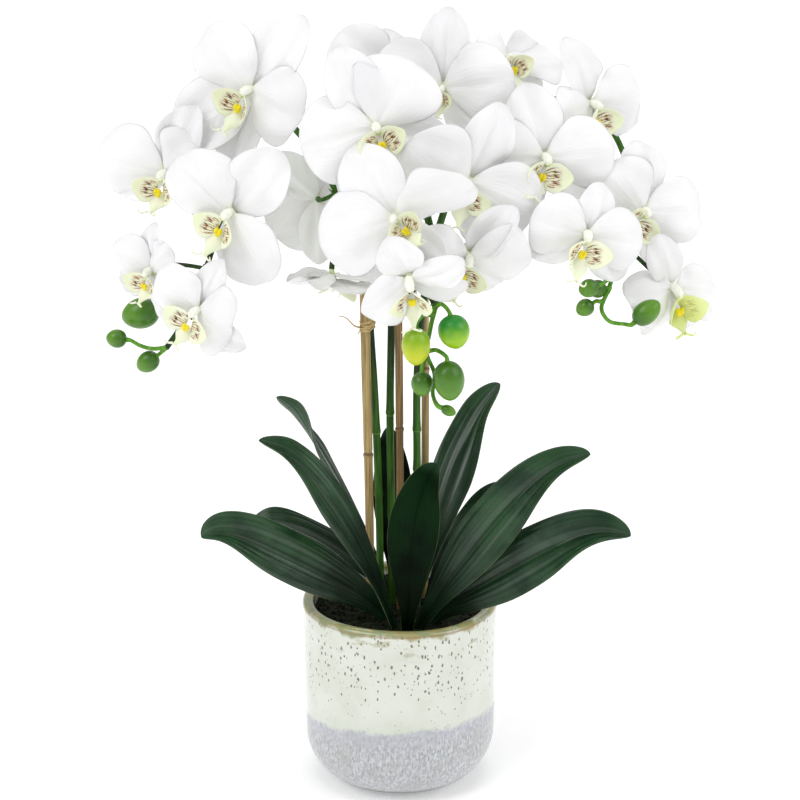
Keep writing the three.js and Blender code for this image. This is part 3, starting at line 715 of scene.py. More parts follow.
def dipped_glaze():
    """Stoneware dipped twice: a glossy cream glaze with iron specks that ran a little before they froze,
    an olive and tan lip where it is thin, and below an uneven tide line a duller lavender grey glaze,
    streaked where it ran."""
    material, add = new_material("dipped_glaze")
    where, apart = place_of(add)
    z = apart["Z"]
    # the tide line: 53 mm up, 8 mm higher at the front, 3 mm higher on the right, and ragged
    tilt = add("Math", TIMES_PLUS, apart["X"], 0.045, add("Math", TIMES, apart["Y"], -0.11))
    ragged = add("Math", TIMES, add("Math", MINUS, noise_at(add, where, 110, 5, 0.8), 0.5), 0.015)
    line = add("Math", PLUS, add("Math", PLUS, tilt, ragged), 0.053)
    over = add("Math", MINUS, z, line)
    below = add("MapRange", S_CURVE, over, -0.0026, 0.002, 1.0, 0.0)
    # the cream glaze: slow drifts between cream and pale green
    upper = laid_over(add, "#D9DCD2", "#CCD1C4", noise_at(add, where, 28, 4), 0.35, 0.7)
    upper = laid_over(add, upper, "#CDD2C6", over, 0.0, 0.022, 0.5, 0.0)
    upper = add("Mix", TINTED, 1.0, upper, (*bpy.context.scene.orchid_pot.glaze, 1.0))
    # its iron specks: up to 1.7 mm wide and 3.2 mm tall, one in most cells of 2.3 x 2.3 x 4.3 mm, and
    # smaller lower down
    wander = add("TexNoise", {}, where, 700.0, 1.0).outputs["Color"]
    moved = add("VectorMath", TIMES_PLUS, wander, (0.0016,) * 3, where)
    cells = add("TexVoronoi", {"feature": "F1"}, add("Mapping", {}, moved, Scale=(430.0, 430.0, 230.0)), 1.0)
    each = add("SeparateColor", {}, cells.outputs["Color"]).outputs
    own = add("MapRange", S_CURVE, each["Red"], 0.05, 0.95, 0.0, 0.37)
    room = add("Math", TIMES, add("MapRange", S_CURVE, z, 0.055, 0.1, 0.3, 1.0), own)
    speck = add("MapRange", S_CURVE, add("Math", MINUS, room, cells.outputs["Distance"]), -0.02, 0.08)
    rust = add("Mix", COLOURS, each["Green"], "#4A4024", "#7E7048")
    upper = add("Mix", COLOURS, add("Math", TIMES, speck, 0.9), upper, rust)
    # the thin glaze: puddles just under the lip, runs down from it, and a burnt edge
    pools = noise_at(add, where, 85, 3, stretch=(2.2, 2.2, 1))
    pools = add("MapRange", S_CURVE, pools, 0.58, 0.64, 0.0, 0.55)
    pools = add("Math", TIMES, pools, add("MapRange", S_CURVE, z, 0.112, 0.121))
    upper = add("Mix", COLOURS, pools, upper, "#A7A583")
    runs = add("Math", TIMES_PLUS, noise_at(add, where, 70, 3, stretch=(1, 1, 2.2)), 0.016, z)
    lip_tone = laid_over(add, "#8A9466", "#A39A66", noise_at(add, where, 110, 4), 0.4, 0.6)
    upper = laid_over(add, upper, lip_tone, runs, 0.1388, 0.1425)
    burnt = between(add, z, (0.1318, 0.1328), (0.1332, 0.1342), 0.5)
    upper = add("Mix", COLOURS, burnt, upper, "#8A6234")
    # the lower glaze: lavender grey with pale runs and clouds, and a dark line round the foot, painted shade
    # of a groove at the foot ring
    streaks = noise_at(add, where, 700, 4, 0.75, stretch=(1, 1, 2.4))
    lower = laid_over(add, "#93959B", "#CDCFD1", streaks, 0.34, 0.66)
    lower = laid_over(add, lower, "#A6A6A2", noise_at(add, where, 60, 5, 0.7), 0.45, 0.66, 0.0, 0.55)
    lower = laid_over(add, lower, "#B5B7C5", over, -0.018, -0.001, 0.0, 0.42)
    foot = between(add, z, (0.0055, 0.0072), (0.0085, 0.0115))
    lower = add("Mix", COLOURS, foot, lower, "#5E6159")
    # the specks are pitted, and the lower glaze is grainy and stands lower than the cream one
    grain = add("Math", TIMES, add("Math", TIMES, streaks, below), 0.6)
    height = add("Math", TIMES_PLUS, speck, -0.8, grain)
    height = add("Math", TIMES_PLUS, below, -0.9, height)
    show(
        add, Base_Color=add("Mix", COLOURS, below, upper, lower), IOR=1.5, Specular_IOR_Level=0.5,
        Roughness=add("MapRange", S_CURVE, below, 0.0, 1.0, 0.16, 0.5), Coat_Weight=0.8, Coat_Roughness=0.1,
        Normal=add("Bump", {}, 0.7, 0.5 * MM, Height=height),
    )
    return material


def lit_acrylic():
    """A pale acrylic sweep lit from below: matt and even, so that it gives only a soft shadow."""
    material, add = new_material("lit_acrylic")
    where, _ = place_of(add)
    colour = add("Mix", COLOURS, noise_at(add, where, 2, 2), "#FFFFFF", "#FBFBFB")
    show(
        add, Base_Color=colour, Roughness=0.9, Specular_IOR_Level=0.1, Emission_Color="#FFFFFF",
        Emission_Strength=0.2,
    )
    return material


# ------------------------------------------------------------------ the pot and the soil
def quarter_round(radius, height, round_, count):
    """Points of a quarter circle from straight down to straight out, about [radius, height]."""
    turn = np.linspace(0, math.pi / 2, count)
    return np.stack([radius + round_ * np.sin(turn), height - round_ * np.cos(turn)], -1)


def pot_body():
    """The pot: a turned cup whose wall is uneven by a slow wave of 0.5 mm round it, with a small foot and a
    rolled lip."""
    inside = POT_RADIUS - POT_WALL
    low = POT_RADIUS - POT_TAPER
    lip = np.linspace(0, math.pi, 17)[1:-1]
    straight = POT_HEIGHT - RIM_RISE
    half_wall = POT_WALL / 2
    rim = np.stack([inside + half_wall + half_wall * np.cos(lip), straight + RIM_RISE * np.sin(lip)], -1)
    outer = quarter_round(low - POT_CORNER, POT_CORNER, POT_CORNER, 20)
    wall = np.stack([np.linspace(low, POT_RADIUS, 26), np.linspace(POT_CORNER, straight, 26)], -1)[1:]
    inner_round = POT_CORNER - POT_WALL
    inner = quarter_round(inside - inner_round, POT_FLOOR + inner_round, inner_round, 10)[::-1]
    down = np.stack([np.full(8, inside), np.linspace(straight, POT_FLOOR + inner_round, 8)], -1)[:-1]
    foot = [[0, 0], [18, 0], [33, 0], [35.5, 0.25]]
    profile = np.vstack([foot, outer[1:], wall, rim, down, inner, [[20, POT_FLOOR], [0, POT_FLOOR]]])

    def wobble(rings):
        turn = np.arctan2(rings[..., 1], rings[..., 0])
        rise = rings[..., 2]
        out = 0.35 * np.sin(2 * turn + 0.6) * smooth(rise, 10, 60) + 0.2 * np.sin(5 * turn + rise * 0.05)
        out = out * smooth(rise, 2, 12)
        lift = 0.5 * np.sin(3 * turn + 1.1) * smooth(rise, 110, POT_HEIGHT)
        return np.stack([out * np.cos(turn), out * np.sin(turn), lift], -1)

    return turned(profile, 144, wobble)


def soil_bodies(rng):
    """The soil: a disc whose top is a sum of 14 sines, each 0.3 mm high, and crumbs on it, each a squashed
    and turned octahedron with uneven corners."""
    radius = POT_RADIUS - POT_WALL - 0.6
    across = np.linspace(radius, 1.5, 26)
    top = np.stack([across, np.full_like(across, SOIL_TOP)], -1)
    side = [[0, SOIL_FOOT], [radius, SOIL_FOOT], [radius, SOIL_TOP - 6.5]]
    profile = np.vstack([side, top, [[0, SOIL_TOP]]])
    waves = rng.uniform(-0.55, 0.55, (14, 2))
    phases = rng.uniform(0, 2 * math.pi, 14)

    def wobble(rings):
        x, y = rings[..., 0, None], rings[..., 1, None]
        height = np.sin(waves[:, 0] * x + waves[:, 1] * y + phases).sum(-1) * 0.3
        return np.stack([0 * height, 0 * height, height * (rings[..., 2] >= SOIL_TOP)], -1)

    far = radius * 0.97 * np.sqrt(rng.uniform(0, 1, CRUMBS))
    round_ = rng.uniform(0, 2 * math.pi, CRUMBS)
    height = SOIL_TOP + rng.uniform(-0.6, 1.2, CRUMBS)
    centre = np.stack([far * np.cos(round_), far * np.sin(round_), height], -1)
    frames = np.linalg.qr(rng.normal(size=(CRUMBS, 3, 3)))[0]
    frames = frames * np.sign(np.linalg.det(frames))[:, None, None]
    half = rng.uniform(0.8, 3.2, (CRUMBS, 3)) * [1.0, 0.6, 0.45]
    ring = np.array([[1, 0, 0], [0, 1, 0], [-1, 0, 0], [0, -1, 0], [0, 0, -1], [0, 0, 1]], float)
    corners = np.einsum("cij,cj,kj->cki", frames, half, ring) * rng.uniform(0.8, 1.25, (CRUMBS, 6, 1))
    points = (corners + centre[:, None]).reshape(-1, 3)
    fan = np.array([[4, 1, 0], [4, 2, 1], [4, 3, 2], [4, 0, 3], [5, 0, 1], [5, 1, 2], [5, 2, 3], [5, 3, 0]])
    triangles = (fan[None] + 6 * np.arange(CRUMBS)[:, None, None]).reshape(-1, 3)
    crumbs = points, np.zeros_like(points), np.zeros((0, 4), int), triangles, 0
    return [(*turned(profile, 96, wobble), 0), crumbs]


# ------------------------------------------------------------------ leaves
def through_four(points, t):
    """The cubic through four points at 0, a third, two thirds and 1, at each t."""
    mix = np.array([[1, 0, 0, 0], [-5 / 6, 3, -1.5, 1 / 3], [1 / 3, -1.5, 3, -5 / 6], [0, 0, 0, 1]])
    a, b, c, d = mix @ np.asarray(points, float)
    return a * (1 - t) ** 3 + 3 * b * t * (1 - t) ** 2 + 3 * c * t**2 * (1 - t) + d * t**3


def leaf_body(rib, width, face, wave, arch, twist, fuller, rng):
    """A strap leaf. Half width: 0.3 of the full at the foot, an S curve to the full at half its length,
    then (1 - x^3.4)^0.5 on the fuller side and (1 - x^2.3)^0.62 on the other, to the tip; a blunt leaf,
    whose fuller is 2 or -2, takes (1 - x^5)^0.5 on both. Its two halves fold up from the midrib, most at
    the foot and the tip, and each is a little rounded; it stands in shallow ribs, its edge waves, its
    midrib arches before the tip and the blade turns over there."""
    u, s, share = sheet_grid(88, 43)
    place = through_four(rib, u)
    late = np.clip((u - 0.3) / 0.7, 0, 1)
    place = place + arch * np.sin(math.pi * late**1.8) * np.array([0, 0, 1])
    along = unit(np.gradient(place, axis=0))
    across = unit(np.cross(along, unit(np.asarray(face, float))))
    up = np.cross(across, along)
    turn = math.radians(twist) * smooth(u, 0.58, 1.0)
    across, up = across * np.cos(turn) + up * np.sin(turn), up * np.cos(turn) - across * np.sin(turn)
    past = np.clip((u - 0.5) / 0.5, 0, 1)
    blunt = abs(fuller) > 1
    round_, straight = (1 - past ** (5.0 if blunt else 3.4)) ** 0.5, (1 - past**2.3) ** 0.62
    rounder = 1.0 if blunt else smooth(s * fuller, -0.35, 0.35) if fuller else 0.6
    half = width / 2 * (0.3 + 0.7 * smooth(u, 0, 0.5))
    half = half * (straight + (round_ - straight) * rounder)
    fold = 0.24 + 0.42 * smooth(u, 0.5, 0.9) + 0.45 * (1 - smooth(u, 0, 0.3))
    away = np.sqrt(s**2 + 0.0016) - 0.04
    lift = half * (away * np.sin(fold) - 0.17 * np.abs(s) ** 3 * (1 - smooth(u, 0.6, 0.95)))
    lift = lift - 0.10 * width * smooth(u, 0.8, 1.0) ** 2
    ribs = 0.2 * np.cos(2 * math.pi * 4.5 * np.abs(s)) * smooth(u, 0.05, 0.2) * (1 - smooth(u, 0.8, 0.97))
    first, second = rng.uniform(0, 2 * math.pi, 2)
    edge = wave * np.sin(2 * math.pi * 1.3 * u + first + 1.2 * np.sign(s)) * np.abs(s) ** 3
    edge = edge + 0.3 * wave * np.sin(2 * math.pi * 3.4 * u + second) * np.abs(s) ** 5
    lift = lift + ribs + edge * smooth(u, 0.15, 0.5) * (1 - smooth(u, 0.85, 1.0))
    aside = half * s * np.cos(fold)
    middle = place[:, None] + across[:, None] * aside[..., None] + up[:, None] * lift[..., None]
    thick = (0.9 + 0.6 * (1 - smooth(u, 0, 0.4))) * share
    return (*skin(middle, thick * (half / (width / 2)) ** 0.25, u, s), 0)


# ------------------------------------------------------------------ canes and the tie
def cane_body(foot, top, ring, thicker):
    """A bamboo cane: a rod, bent by a sine of 0.5 mm, with a raised ring every RING_PITCH, each a swelling of
    0.45 mm over 3 mm with a groove above it, and its radius grows by thicker to its top. lay's third
    number is 1 at a ring."""
    foot, top = np.asarray(foot, float), np.asarray(top, float)
    length = np.linalg.norm(top - foot)
    marks = np.arange((ring - foot[2]) % RING_PITCH, length, RING_PITCH)
    close = (marks[:, None] + np.linspace(-5, 5, 21)).ravel()
    along = np.unique(np.concatenate([np.linspace(0, length, 60), close]))
    along = along[(along >= 0) & (along <= length)]
    away = along[:, None] - marks
    swell = 0.45 * np.exp(-((away / 1.3) ** 2)).sum(1) - 0.35 * np.exp(-(((away - 2.4) / 0.8) ** 2)).sum(1)
    bend = 0.5 * np.sin(along / length * 5.0 + ring)
    path = foot + (top - foot) * (along / length)[:, None] + np.array([1.0, 0.4, 0]) * bend[:, None]
    swell = swell + thicker * along / length
    points, lay, quads, triangles = rod(path, CANE_RADIUS - 0.1 + swell, 20, ribs=0.02, rib_count=7)
    rings = np.exp(-(((away - 1.2) / 1.2) ** 2)).sum(1)
    lay[:-2, 2] = np.repeat(rings, 20)
    return points, lay, quads, triangles, 0


def tie_bodies():
    """Raffia wound round the left cane and stem: a strand that goes round both, at the outermost circle in
    each heading, and climbs as it goes, with two loose ends."""
    cane, stem = np.array([-23.5, -8.4]), np.array([-20.9, 1.2])
    turn = np.linspace(0, TIE_TURNS * 2 * math.pi, 240)
    heading = np.stack([np.cos(turn), np.sin(turn)], -1)
    outer = np.where((heading @ (cane - stem) > 0)[:, None], cane, stem)
    height = TIE_FOOT + TIE_CLIMB * turn / turn[-1] + 0.4 * np.sin(turn * 0.53 + 1)
    wound = np.column_stack([outer + heading * (3.5 + 0.25 * np.sin(turn * 0.7))[:, None], height])
    wound, _ = evenly(wound, 1.2)
    bodies = [(*rod(wound, 1.0, 10, flat=0.55), 0)]
    for ends in (
        [[-27, -10, 337], [-31, -13, 339], [-37, -14, 345], [-42, -13, 346]],
        [[-26, -11.5, 336], [-27.5, -13, 335], [-29, -13, 333]],
    ):
        path, _ = evenly(path_through(ends), 1.0)
        thin = 0.7 * (1 - 0.6 * np.linspace(0, 1, len(path)))
        bodies.append((*rod(path, thin, 7, flat=0.6), 0))
    return bodies


# ------------------------------------------------------------------ spikes and buds
def flower_axes(look):
    """A flower's right, up and forward directions from its yaw, pitch and roll."""
    a, b, c = (math.radians(x) for x in look)
    ahead = np.array([math.sin(a) * math.cos(b), -math.cos(a) * math.cos(b), math.sin(b)])
    level = np.array([math.cos(a), math.sin(a), 0.0])
    rise = np.cross(ahead, level)
    return (
        level * math.cos(c) - rise * math.sin(c),
        rise * math.cos(c) + level * math.sin(c),
        ahead,
    )


def stem_body(path, joints):
    """A spike's stem: a rod whose radius falls from 2.65 to 1.9 mm, with a sheath at each joint that stands
    0.75 mm out and fades over 9 mm upwards. lay's third number is 1 on a sheath's edge."""
    path, along = evenly(path_through(path), 1.6)
    share = along / along[-1]
    radius = 2.65 - 0.75 * smooth(share, 0.35, 1.0)
    rises = path[:, 2][:, None] - np.asarray(joints, float)
    rising = (share < 0.6)[:, None]
    sheath = np.where((rises > 0) & rising, np.exp(-rises / 4.5), 0) * smooth(rises, 0, 0.8)
    radius = radius + 0.75 * sheath.sum(1)
    points, lay, quads, triangles = rod(path, radius, 16, ribs=0.015, rib_count=5)
    ring = np.where(rising, np.exp(-((rises / 0.9) ** 2)), 0).sum(1)
    lay[:-2, 2] = np.repeat(ring, 16)
    return (points, lay, quads, triangles, 0), path


def bract_body(place, heading, outward, length=8.0):
    """A small scale at the foot of a stalk: a pointed sheet wrapped half round the stem, half width
    2.6 (1 - u^2)^0.7, leaning out by a fifth of its length."""
    u, s, share = sheet_grid(12, 11)
    heading, outward = unit(np.asarray(heading, float)), np.asarray(outward, float)
    outward = unit(outward - heading * (outward @ heading))
    side = np.cross(heading, outward)
    wrap = s * 1.1 * (1 - u**2) ** 0.7
    reach = 2.5 + 1.6 * u**1.5
    middle = (
        place + heading * (length * (u - 0.35) + 0 * s)[..., None]
        + outward * (reach * np.cos(wrap))[..., None] - side * (reach * np.sin(wrap))[..., None]
    )
    return (*skin(middle, 0.3 * share, u, s), 0)


def stalk_body(points, foot=STALK_RADIUS, head=STALK_RADIUS):
    """A stalk: a rod through its points, 0.35 mm thicker where it leaves the stem and 0.5 mm thicker where
    it holds what it carries."""
    path, along = evenly(path_through(points, 20), 1.0)
    share = along / along[-1]
    radius = foot + (head - foot) * share + 0.5 * smooth(share, 0.86, 1.0)
    radius = radius + 0.35 * (1 - smooth(share, 0, 0.12))
    return rod(path, radius, 12)


def spike_bodies(number, path, joints, stalks):
    """A spike: its stem, a curved stalk to the back of each of its flowers from the nearest place on the
    stem, a stalk to each bud, and a scale where each flower's stalk leaves."""
    stem, stations = stem_body(path, joints)
    headings = unit(np.gradient(stations, axis=0))
    bodies = [stem]
    for spike, at, look, *_ in FLOWERS:
        if spike != number:
            continue
        _, _, ahead = flower_axes(look)
        end = np.asarray(at, float) - ahead * (HUB - 1.0)
        bend = np.asarray(at, float) - ahead * (HUB + APPROACH)
        near = int(np.argmin(np.linalg.norm(stations - bend, axis=1)))
        start = stations[near]
        t = np.linspace(0, 1, 9)[:, None]
        curve = start * (1 - t) ** 2 + 2 * bend * t * (1 - t) + end * t**2
        bodies.append((*stalk_body(curve), 0))
        bodies.append(bract_body(start, headings[near], curve[3] - start))
    for bud, through in stalks:
        points = [list(map(float, p)) for p in through]
        if bud is not None:
            at, tip, length, _, _ = BUDS[bud]
            back = -unit(np.asarray(tip, float))
            points += [np.asarray(at) + back * (length / 2 + 2.5), np.asarray(at) + back * (length / 2 - 0.6)]
        bodies.append((*stalk_body(points, 1.5, 1.25), 1))
    return bodies


def bud_body(at, tip, length, width):
    """A bud: an egg, with half width (1 - v^2)^0.52 (1 - 0.09 v - 0.05 v^3) at v from -1 to 1 along it, blunt
    at the stalk and narrower at the tip, with three shallow seams where its sepals meet."""
    ahead = unit(np.asarray(tip, float))
    side = unit(np.cross(ahead, np.eye(3)[np.argmin(np.abs(ahead))]))
    top = np.cross(ahead, side)
    u = (0.5 - 0.5 * np.cos(np.linspace(0, math.pi, 34)))[1:-1, None]
    turn = (np.arange(36) * 2 * math.pi / 36)[None, :]
    seam = np.exp(-(((np.mod(turn, 2 * math.pi / 3) - math.pi / 3) / 0.11) ** 2))
    v = 2 * u - 1
    reach = width / 2 * (1 - v**2) ** 0.52 * (1 - 0.09 * v - 0.05 * v**3)
    reach = reach * (1 - 0.05 * seam * smooth(u, 0.2, 0.65))
    middle = np.asarray(at, float) + ahead * (length * (u - 0.5))[..., None]
    rings = middle + side * (reach * np.cos(turn))[..., None] + top * (reach * np.sin(turn))[..., None]
    lay = np.stack(np.broadcast_arrays(u, turn / (2 * math.pi), seam), -1)
    ends = np.asarray(at) - ahead * length / 2, np.asarray(at) + ahead * length / 2
    return (*capped_rings(rings, *ends, lay, [[0, 0, 0]], [[1, 0, 0]]), 0)


# ------------------------------------------------------------------ flowers
def tepal_middle(kind, radius, degrees, longer, wider, tilt, rng):
    """A petal or sepal as a sheet in its flower's axes. Its half width rises as sin(pi/2 u/m)^p to its
    widest at m and falls as (1 - x^q)^e; m comes sooner on a petal's upper side, so that it is fuller
    there. Along it the blade rises by a sine and droops by u^2; across it it cups by s^2, a shallow
    groove runs down its middle, and its margin waves three and five times round. It is then turned by
    tilt about its length, and clockwise."""
    length, width, high, low, foot, round_, end, base, rise, arc, droop, cup, wave = TEPALS[kind]
    length, width = length * longer, width * wider
    u, s, share = sheet_grid(46, 31)
    vary = rng.normal(0, 1, 6)
    phase = rng.uniform(0, 2 * math.pi, 3)
    widest = np.where(s * degrees < 0, high, low)
    rising = np.sin(math.pi / 2 * np.clip(u / widest, 0, 1)) ** foot
    past = np.clip((u - widest) / (1 - widest), 0, 1)
    half = np.maximum(width * rising * (1 - past**round_) ** end, 0.08 * (1 - u))
    x = half * s
    y = length * u + 0 * s
    bow = base + rise * np.sin(math.pi * arc * u) - (droop + 0.045 * vary[0]) * u**2
    across = (cup + 0.05 * vary[1] * u) * s**2 * (half / width)
    rim = np.sqrt(1 - (1 - s**2) * (1 - past**2))
    round_about = np.arctan2(x, y - 0.3)
    edge = wave * (1 + 0.3 * vary[2]) * rim**2.4 * smooth(u, 0.08, 0.45) * (
        np.sin(3 * round_about + phase[0]) + 0.5 * np.sin(5 * round_about + phase[1])
    )
    fold = 0.02 * np.sin(2 * math.pi * (1.2 * x / width + 0.5 * u) + phase[2]) * smooth(u, 0.1, 0.5)
    groove = -0.02 * np.exp(-((x / 0.035) ** 2)) * (1 - smooth(u, 0.55, 0.95)) * smooth(u, 0.0, 0.15)
    z = bow + across + edge + fold + groove + 0.05 * vary[3] * x + 0.03 * vary[4] * u
    lean = math.radians(tilt) * smooth(u, 0.0, 0.3)
    x, z = x * np.cos(lean) - (z - bow) * np.sin(lean), bow + (z - bow) * np.cos(lean) + x * np.sin(lean)
    cos, sin = math.cos(math.radians(degrees)), math.sin(math.radians(degrees))
    middle = np.stack([x * cos + y * sin, y * cos - x * sin, z], -1)
    thick = (0.4 + 0.5 * (1 - smooth(u, 0.0, 0.25))) * share
    return middle * radius, thick, u, s


def lip_sheet(size, start, way, across, length, half, cup, curl, rows=22, columns=19):
    """One lobe of the lip: from start it runs along way, bending towards the lobe's front by curl u^2; its
    half width is given along it, and it cups by s^2. Front is across x way."""
    u, s, share = sheet_grid(rows, columns)
    way, across = unit(np.asarray(way, float)), np.asarray(across, float)
    across = unit(across - way * (across @ way))
    front = np.cross(across, way)
    wide = half(u)
    middle = (
        np.asarray(start, float) + way * (length * u + 0 * s)[..., None] + across * (wide * s)[..., None]
        + front * (curl * u**2 + cup * s**2 * np.sin(math.pi * np.clip(u, 0, 1) ** 0.8))[..., None]
    )
    return skin(middle * size, 0.35 * share, u, s)


def sized(body, size, pick):
    """A body, size times as large, with the number of its material."""
    points, *rest = body
    return (points * size, *rest, pick)


def lip_bodies(size, young, lobes, rng):
    """The lip under the column, in its flower's axes: two round side lobes that flare like cupped hands,
    a middle lobe that narrows at its foot, spreads and ends in two curled tendrils, and a forked yellow
    callus between them."""
    bodies = []
    spread = 0.6 if young else 1.0
    for side, forwards in zip((-1, 1), lobes):
        lobe = lip_sheet(
            size, [0.05 * side, -0.25, 0.13], [0.80 * side * spread, 0.22, forwards + 0.05 * rng.normal()],
            [0.3, -0.9 * side, 0.1 * side], 0.40,
            lambda u: 0.185 * np.sin(math.pi * u**0.70) ** 0.6 + 0.035 * (1 - u), 0.07 + 0.02 * rng.normal(),
            0.09 + 0.03 * rng.normal(),
        )
        bodies.append((*lobe, 0))
    length = 0.40 + 0.04 * rng.normal()
    middle = lip_sheet(
        size, [0, -0.25, 0.14], [0.06 * rng.normal(), -0.92, 0.25], [1, 0, 0], length,
        lambda u: 0.05 + 0.10 * np.exp(-(((u - 0.5) / 0.24) ** 2)) - 0.025 * u, 0.05, -0.14, 28, 17,
    )
    bodies.append((*middle, 0))
    tip = middle[0][-1] / size
    for side in (-1, 1):
        t = np.linspace(0, 1, 16)
        aside = side * (0.015 + 0.12 * np.sin(t * 2.0))
        down = 0.03 - 0.06 * np.sin(t * 2.6) + 0.06 * t**2
        curl = tip + np.stack([aside, down, 0.01 * t + 0.06 * t**2], -1)
        bodies.append((*rod(curl * size, size * 0.017 * (1.15 - 0.7 * t), 7), 0))
    for side in (-1, 1):
        bodies.append(sized(ball([0.026 * side, -0.25, 0.22], np.diag([0.034, 0.054, 0.038])), size, 1))
    bodies.append(sized(ball([0, -0.295, 0.2], np.diag([0.038, 0.046, 0.035])), size, 1))
    return bodies


def column_bodies(size, pits):
    """The column over the lip, in its flower's axes: a rod that bows forwards and thickens, a round cap,
    the green hollow under it and, on some, two dark pits."""
    bodies = []
    back = np.array([[0, 0.01, -0.02], [0, 0.02, 0.05], [0, 0.015, 0.12], [0, -0.005, 0.17], [0, -0.03, 0.2]])
    path, along = evenly(path_through(back), 0.012)
    share = along / along[-1]
    wide = 0.056 + 0.010 * smooth(share, 0.3, 0.8) - 0.02 * smooth(share, 0.85, 1)
    bodies.append((*rod(path * size, wide * size, 18), 2))
    cap = ball([0, -0.022, 0.2], [[0.060, 0, 0], [0, 0.056, 0.02], [0, -0.018, 0.045]], 14, 20)
    bodies.append(sized(cap, size, 2))
    bodies.append(sized(ball([0, -0.072, 0.165], np.diag([0.044, 0.04, 0.04])), size, 4))
    for side in (-1, 1) if pits else ():
        pit = ball([0.04 * side, -0.07, 0.215], np.diag([0.017, 0.02, 0.014]), 6, 10)
        bodies.append(sized(pit, size, 3))
    return bodies


def hub_body():
    """The hub behind a flower: a short rod that widens from its stalk to the tepals' feet."""
    share = np.linspace(0, 1, 12)
    path = np.array([0, 0, -HUB]) + share[:, None] * np.array([0, 0, HUB + 1.5])
    return rod(path, 1.7 + 1.7 * smooth(share, 0.1, 1.0), 14)


def placed(bodies, at, axes):
    """Bodies in a flower's axes, moved to its place: at + x right + y up + z ahead."""
    turn = np.stack(axes)
    return [(points @ turn + np.asarray(at, float), *rest) for points, *rest in bodies]


# ------------------------------------------------------------------ settings
TINT = {"subtype": "COLOR", "size": 3, "min": 0, "max": 1, "default": (1.0, 1.0, 1.0)}


class OrchidPotSettings(bpy.types.PropertyGroup):
    """What a user would change on the pot."""

    glaze: FloatVectorProperty(name="Glaze", description="Tint of the cream glaze", **TINT)
    soil_seed: IntProperty(name="Soil seed", description="Picks another lie of the crumbs", default=3, min=0)


class OrchidLeafSettings(bpy.types.PropertyGroup):
    """What a user would change on the leaves."""

    tint: FloatVectorProperty(name="Tint", description="Tint of the leaves", **TINT)
    width: FloatProperty(
        name="Width", description="How wide the leaves are, against the usual", default=1.0, min=0.6, max=1.1,
        subtype="FACTOR",
    )


class OrchidFlowerSettings(bpy.types.PropertyGroup):
    """What a user would change on the flowers."""

    petal: FloatVectorProperty(name="Petal", description="Tint of the petals and sepals", **TINT)
    seed: IntProperty(name="Seed", description="Picks another set of waves for the petals", default=11, min=0)


class OrchidStageSettings(bpy.types.PropertyGroup):
    """The camera and the light."""

    distance: FloatProperty(
        name="Distance", description="How far in front of the pot the camera stands", default=1.2747,
        unit="LENGTH", subtype="DISTANCE",
    )
    height: FloatProperty(
        name="Height", description="How high the camera stands", default=0.6696, unit="LENGTH",
        subtype="DISTANCE",
    )
    tilt: FloatProperty(
        name="Tilt", description="How far down the camera looks", default=math.radians(16.9), subtype="ANGLE",
    )
    sky: FloatProperty(name="Sky", description="Strength of the light from all round", default=0.52, min=0)
    key: FloatProperty(name="Key", description="Strength of the strongest lamp", default=0.98, min=0)


class MakeOrchidPiece:
    """What every operator here shares."""

    bl_options = {"REGISTER", "UNDO"}


class ORCHID_OT_pot(MakeOrchidPiece, bpy.types.Operator):
    """Makes the dipped and speckled pot"""

    bl_idname = "orchid.make_pot"
    bl_label = "Pot"

    def execute(self, context):
        make_piece("glazed_pot", [(*pot_body(), 0)], ["pot"], [dipped_glaze()])
        return {"FINISHED"}


class ORCHID_OT_soil(MakeOrchidPiece, bpy.types.Operator):
    """Makes the soil and its crumbs"""

    bl_idname = "orchid.make_soil"
    bl_label = "Soil"

    def execute(self, context):
        rng = np.random.default_rng(context.scene.orchid_pot.soil_seed)
        make_piece("potting_soil", soil_bodies(rng), ["soil"], [potting_moss()])
        return {"FINISHED"}


class ORCHID_OT_leaves(MakeOrchidPiece, bpy.types.Operator):
    """Makes the strap leaves"""

    bl_idname = "orchid.make_leaves"
    bl_label = "Leaves"

    def execute(self, context):
        # the second paint carries painted sheen, grey bands that stand for highlights
        green, sheen_painted, dark = (moulded_leaf(name, *paint) for name, paint in LEAF_PAINTS.items())
        factor = context.scene.orchid_leaves.width
        for number, (rib, width, *rest) in enumerate(LEAVES, 1):
            body = leaf_body(rib, width * factor, *rest, np.random.default_rng(40 + number))
            # the inner leaves 5 and 10 take the darker, duller copy of the paint: painted shade
            paint = dark if number in SHADED_LEAVES else sheen_painted if number in SHEEN_PAINTED_LEAVES else green
            make_piece(f"strap_leaf_{number:02d}", [body], [f"leaf_{number:02d}"], [paint])
        return {"FINISHED"}


class ORCHID_OT_canes(MakeOrchidPiece, bpy.types.Operator):
    """Makes the bamboo canes"""

    bl_idname = "orchid.make_canes"
    bl_label = "Canes"

    def execute(self, context):
        for name, foot, top, ring, thicker, light, dark in CANES:
            material = split_bamboo(f"split_bamboo_{name}", light, dark)
            body = cane_body(foot, top, ring, thicker)
            make_piece(f"cane_{name}", [body], [f"bamboo_cane_{name}"], [material])
        return {"FINISHED"}


class ORCHID_OT_spikes(MakeOrchidPiece, bpy.types.Operator):
    """Makes the flower spikes with their stalks"""

    bl_idname = "orchid.make_spikes"
    bl_label = "Flower spikes"

    def execute(self, context):
        stem = coated_stem("coated_stem", ("#407714", "#28520B"), ("#26460F", "#162C0A"))
        stalk = coated_stem("coated_stalk", ("#68A22A", "#4A821A"), ("#68A22A", "#4A821A"))
        for number, (name, path, joints, stalks) in enumerate(SPIKES):
            bodies = spike_bodies(number, path, joints, stalks)
            make_piece(f"spike_{name}", bodies, [f"flower_spike_{name}"], [stem, stalk])
        return {"FINISHED"}


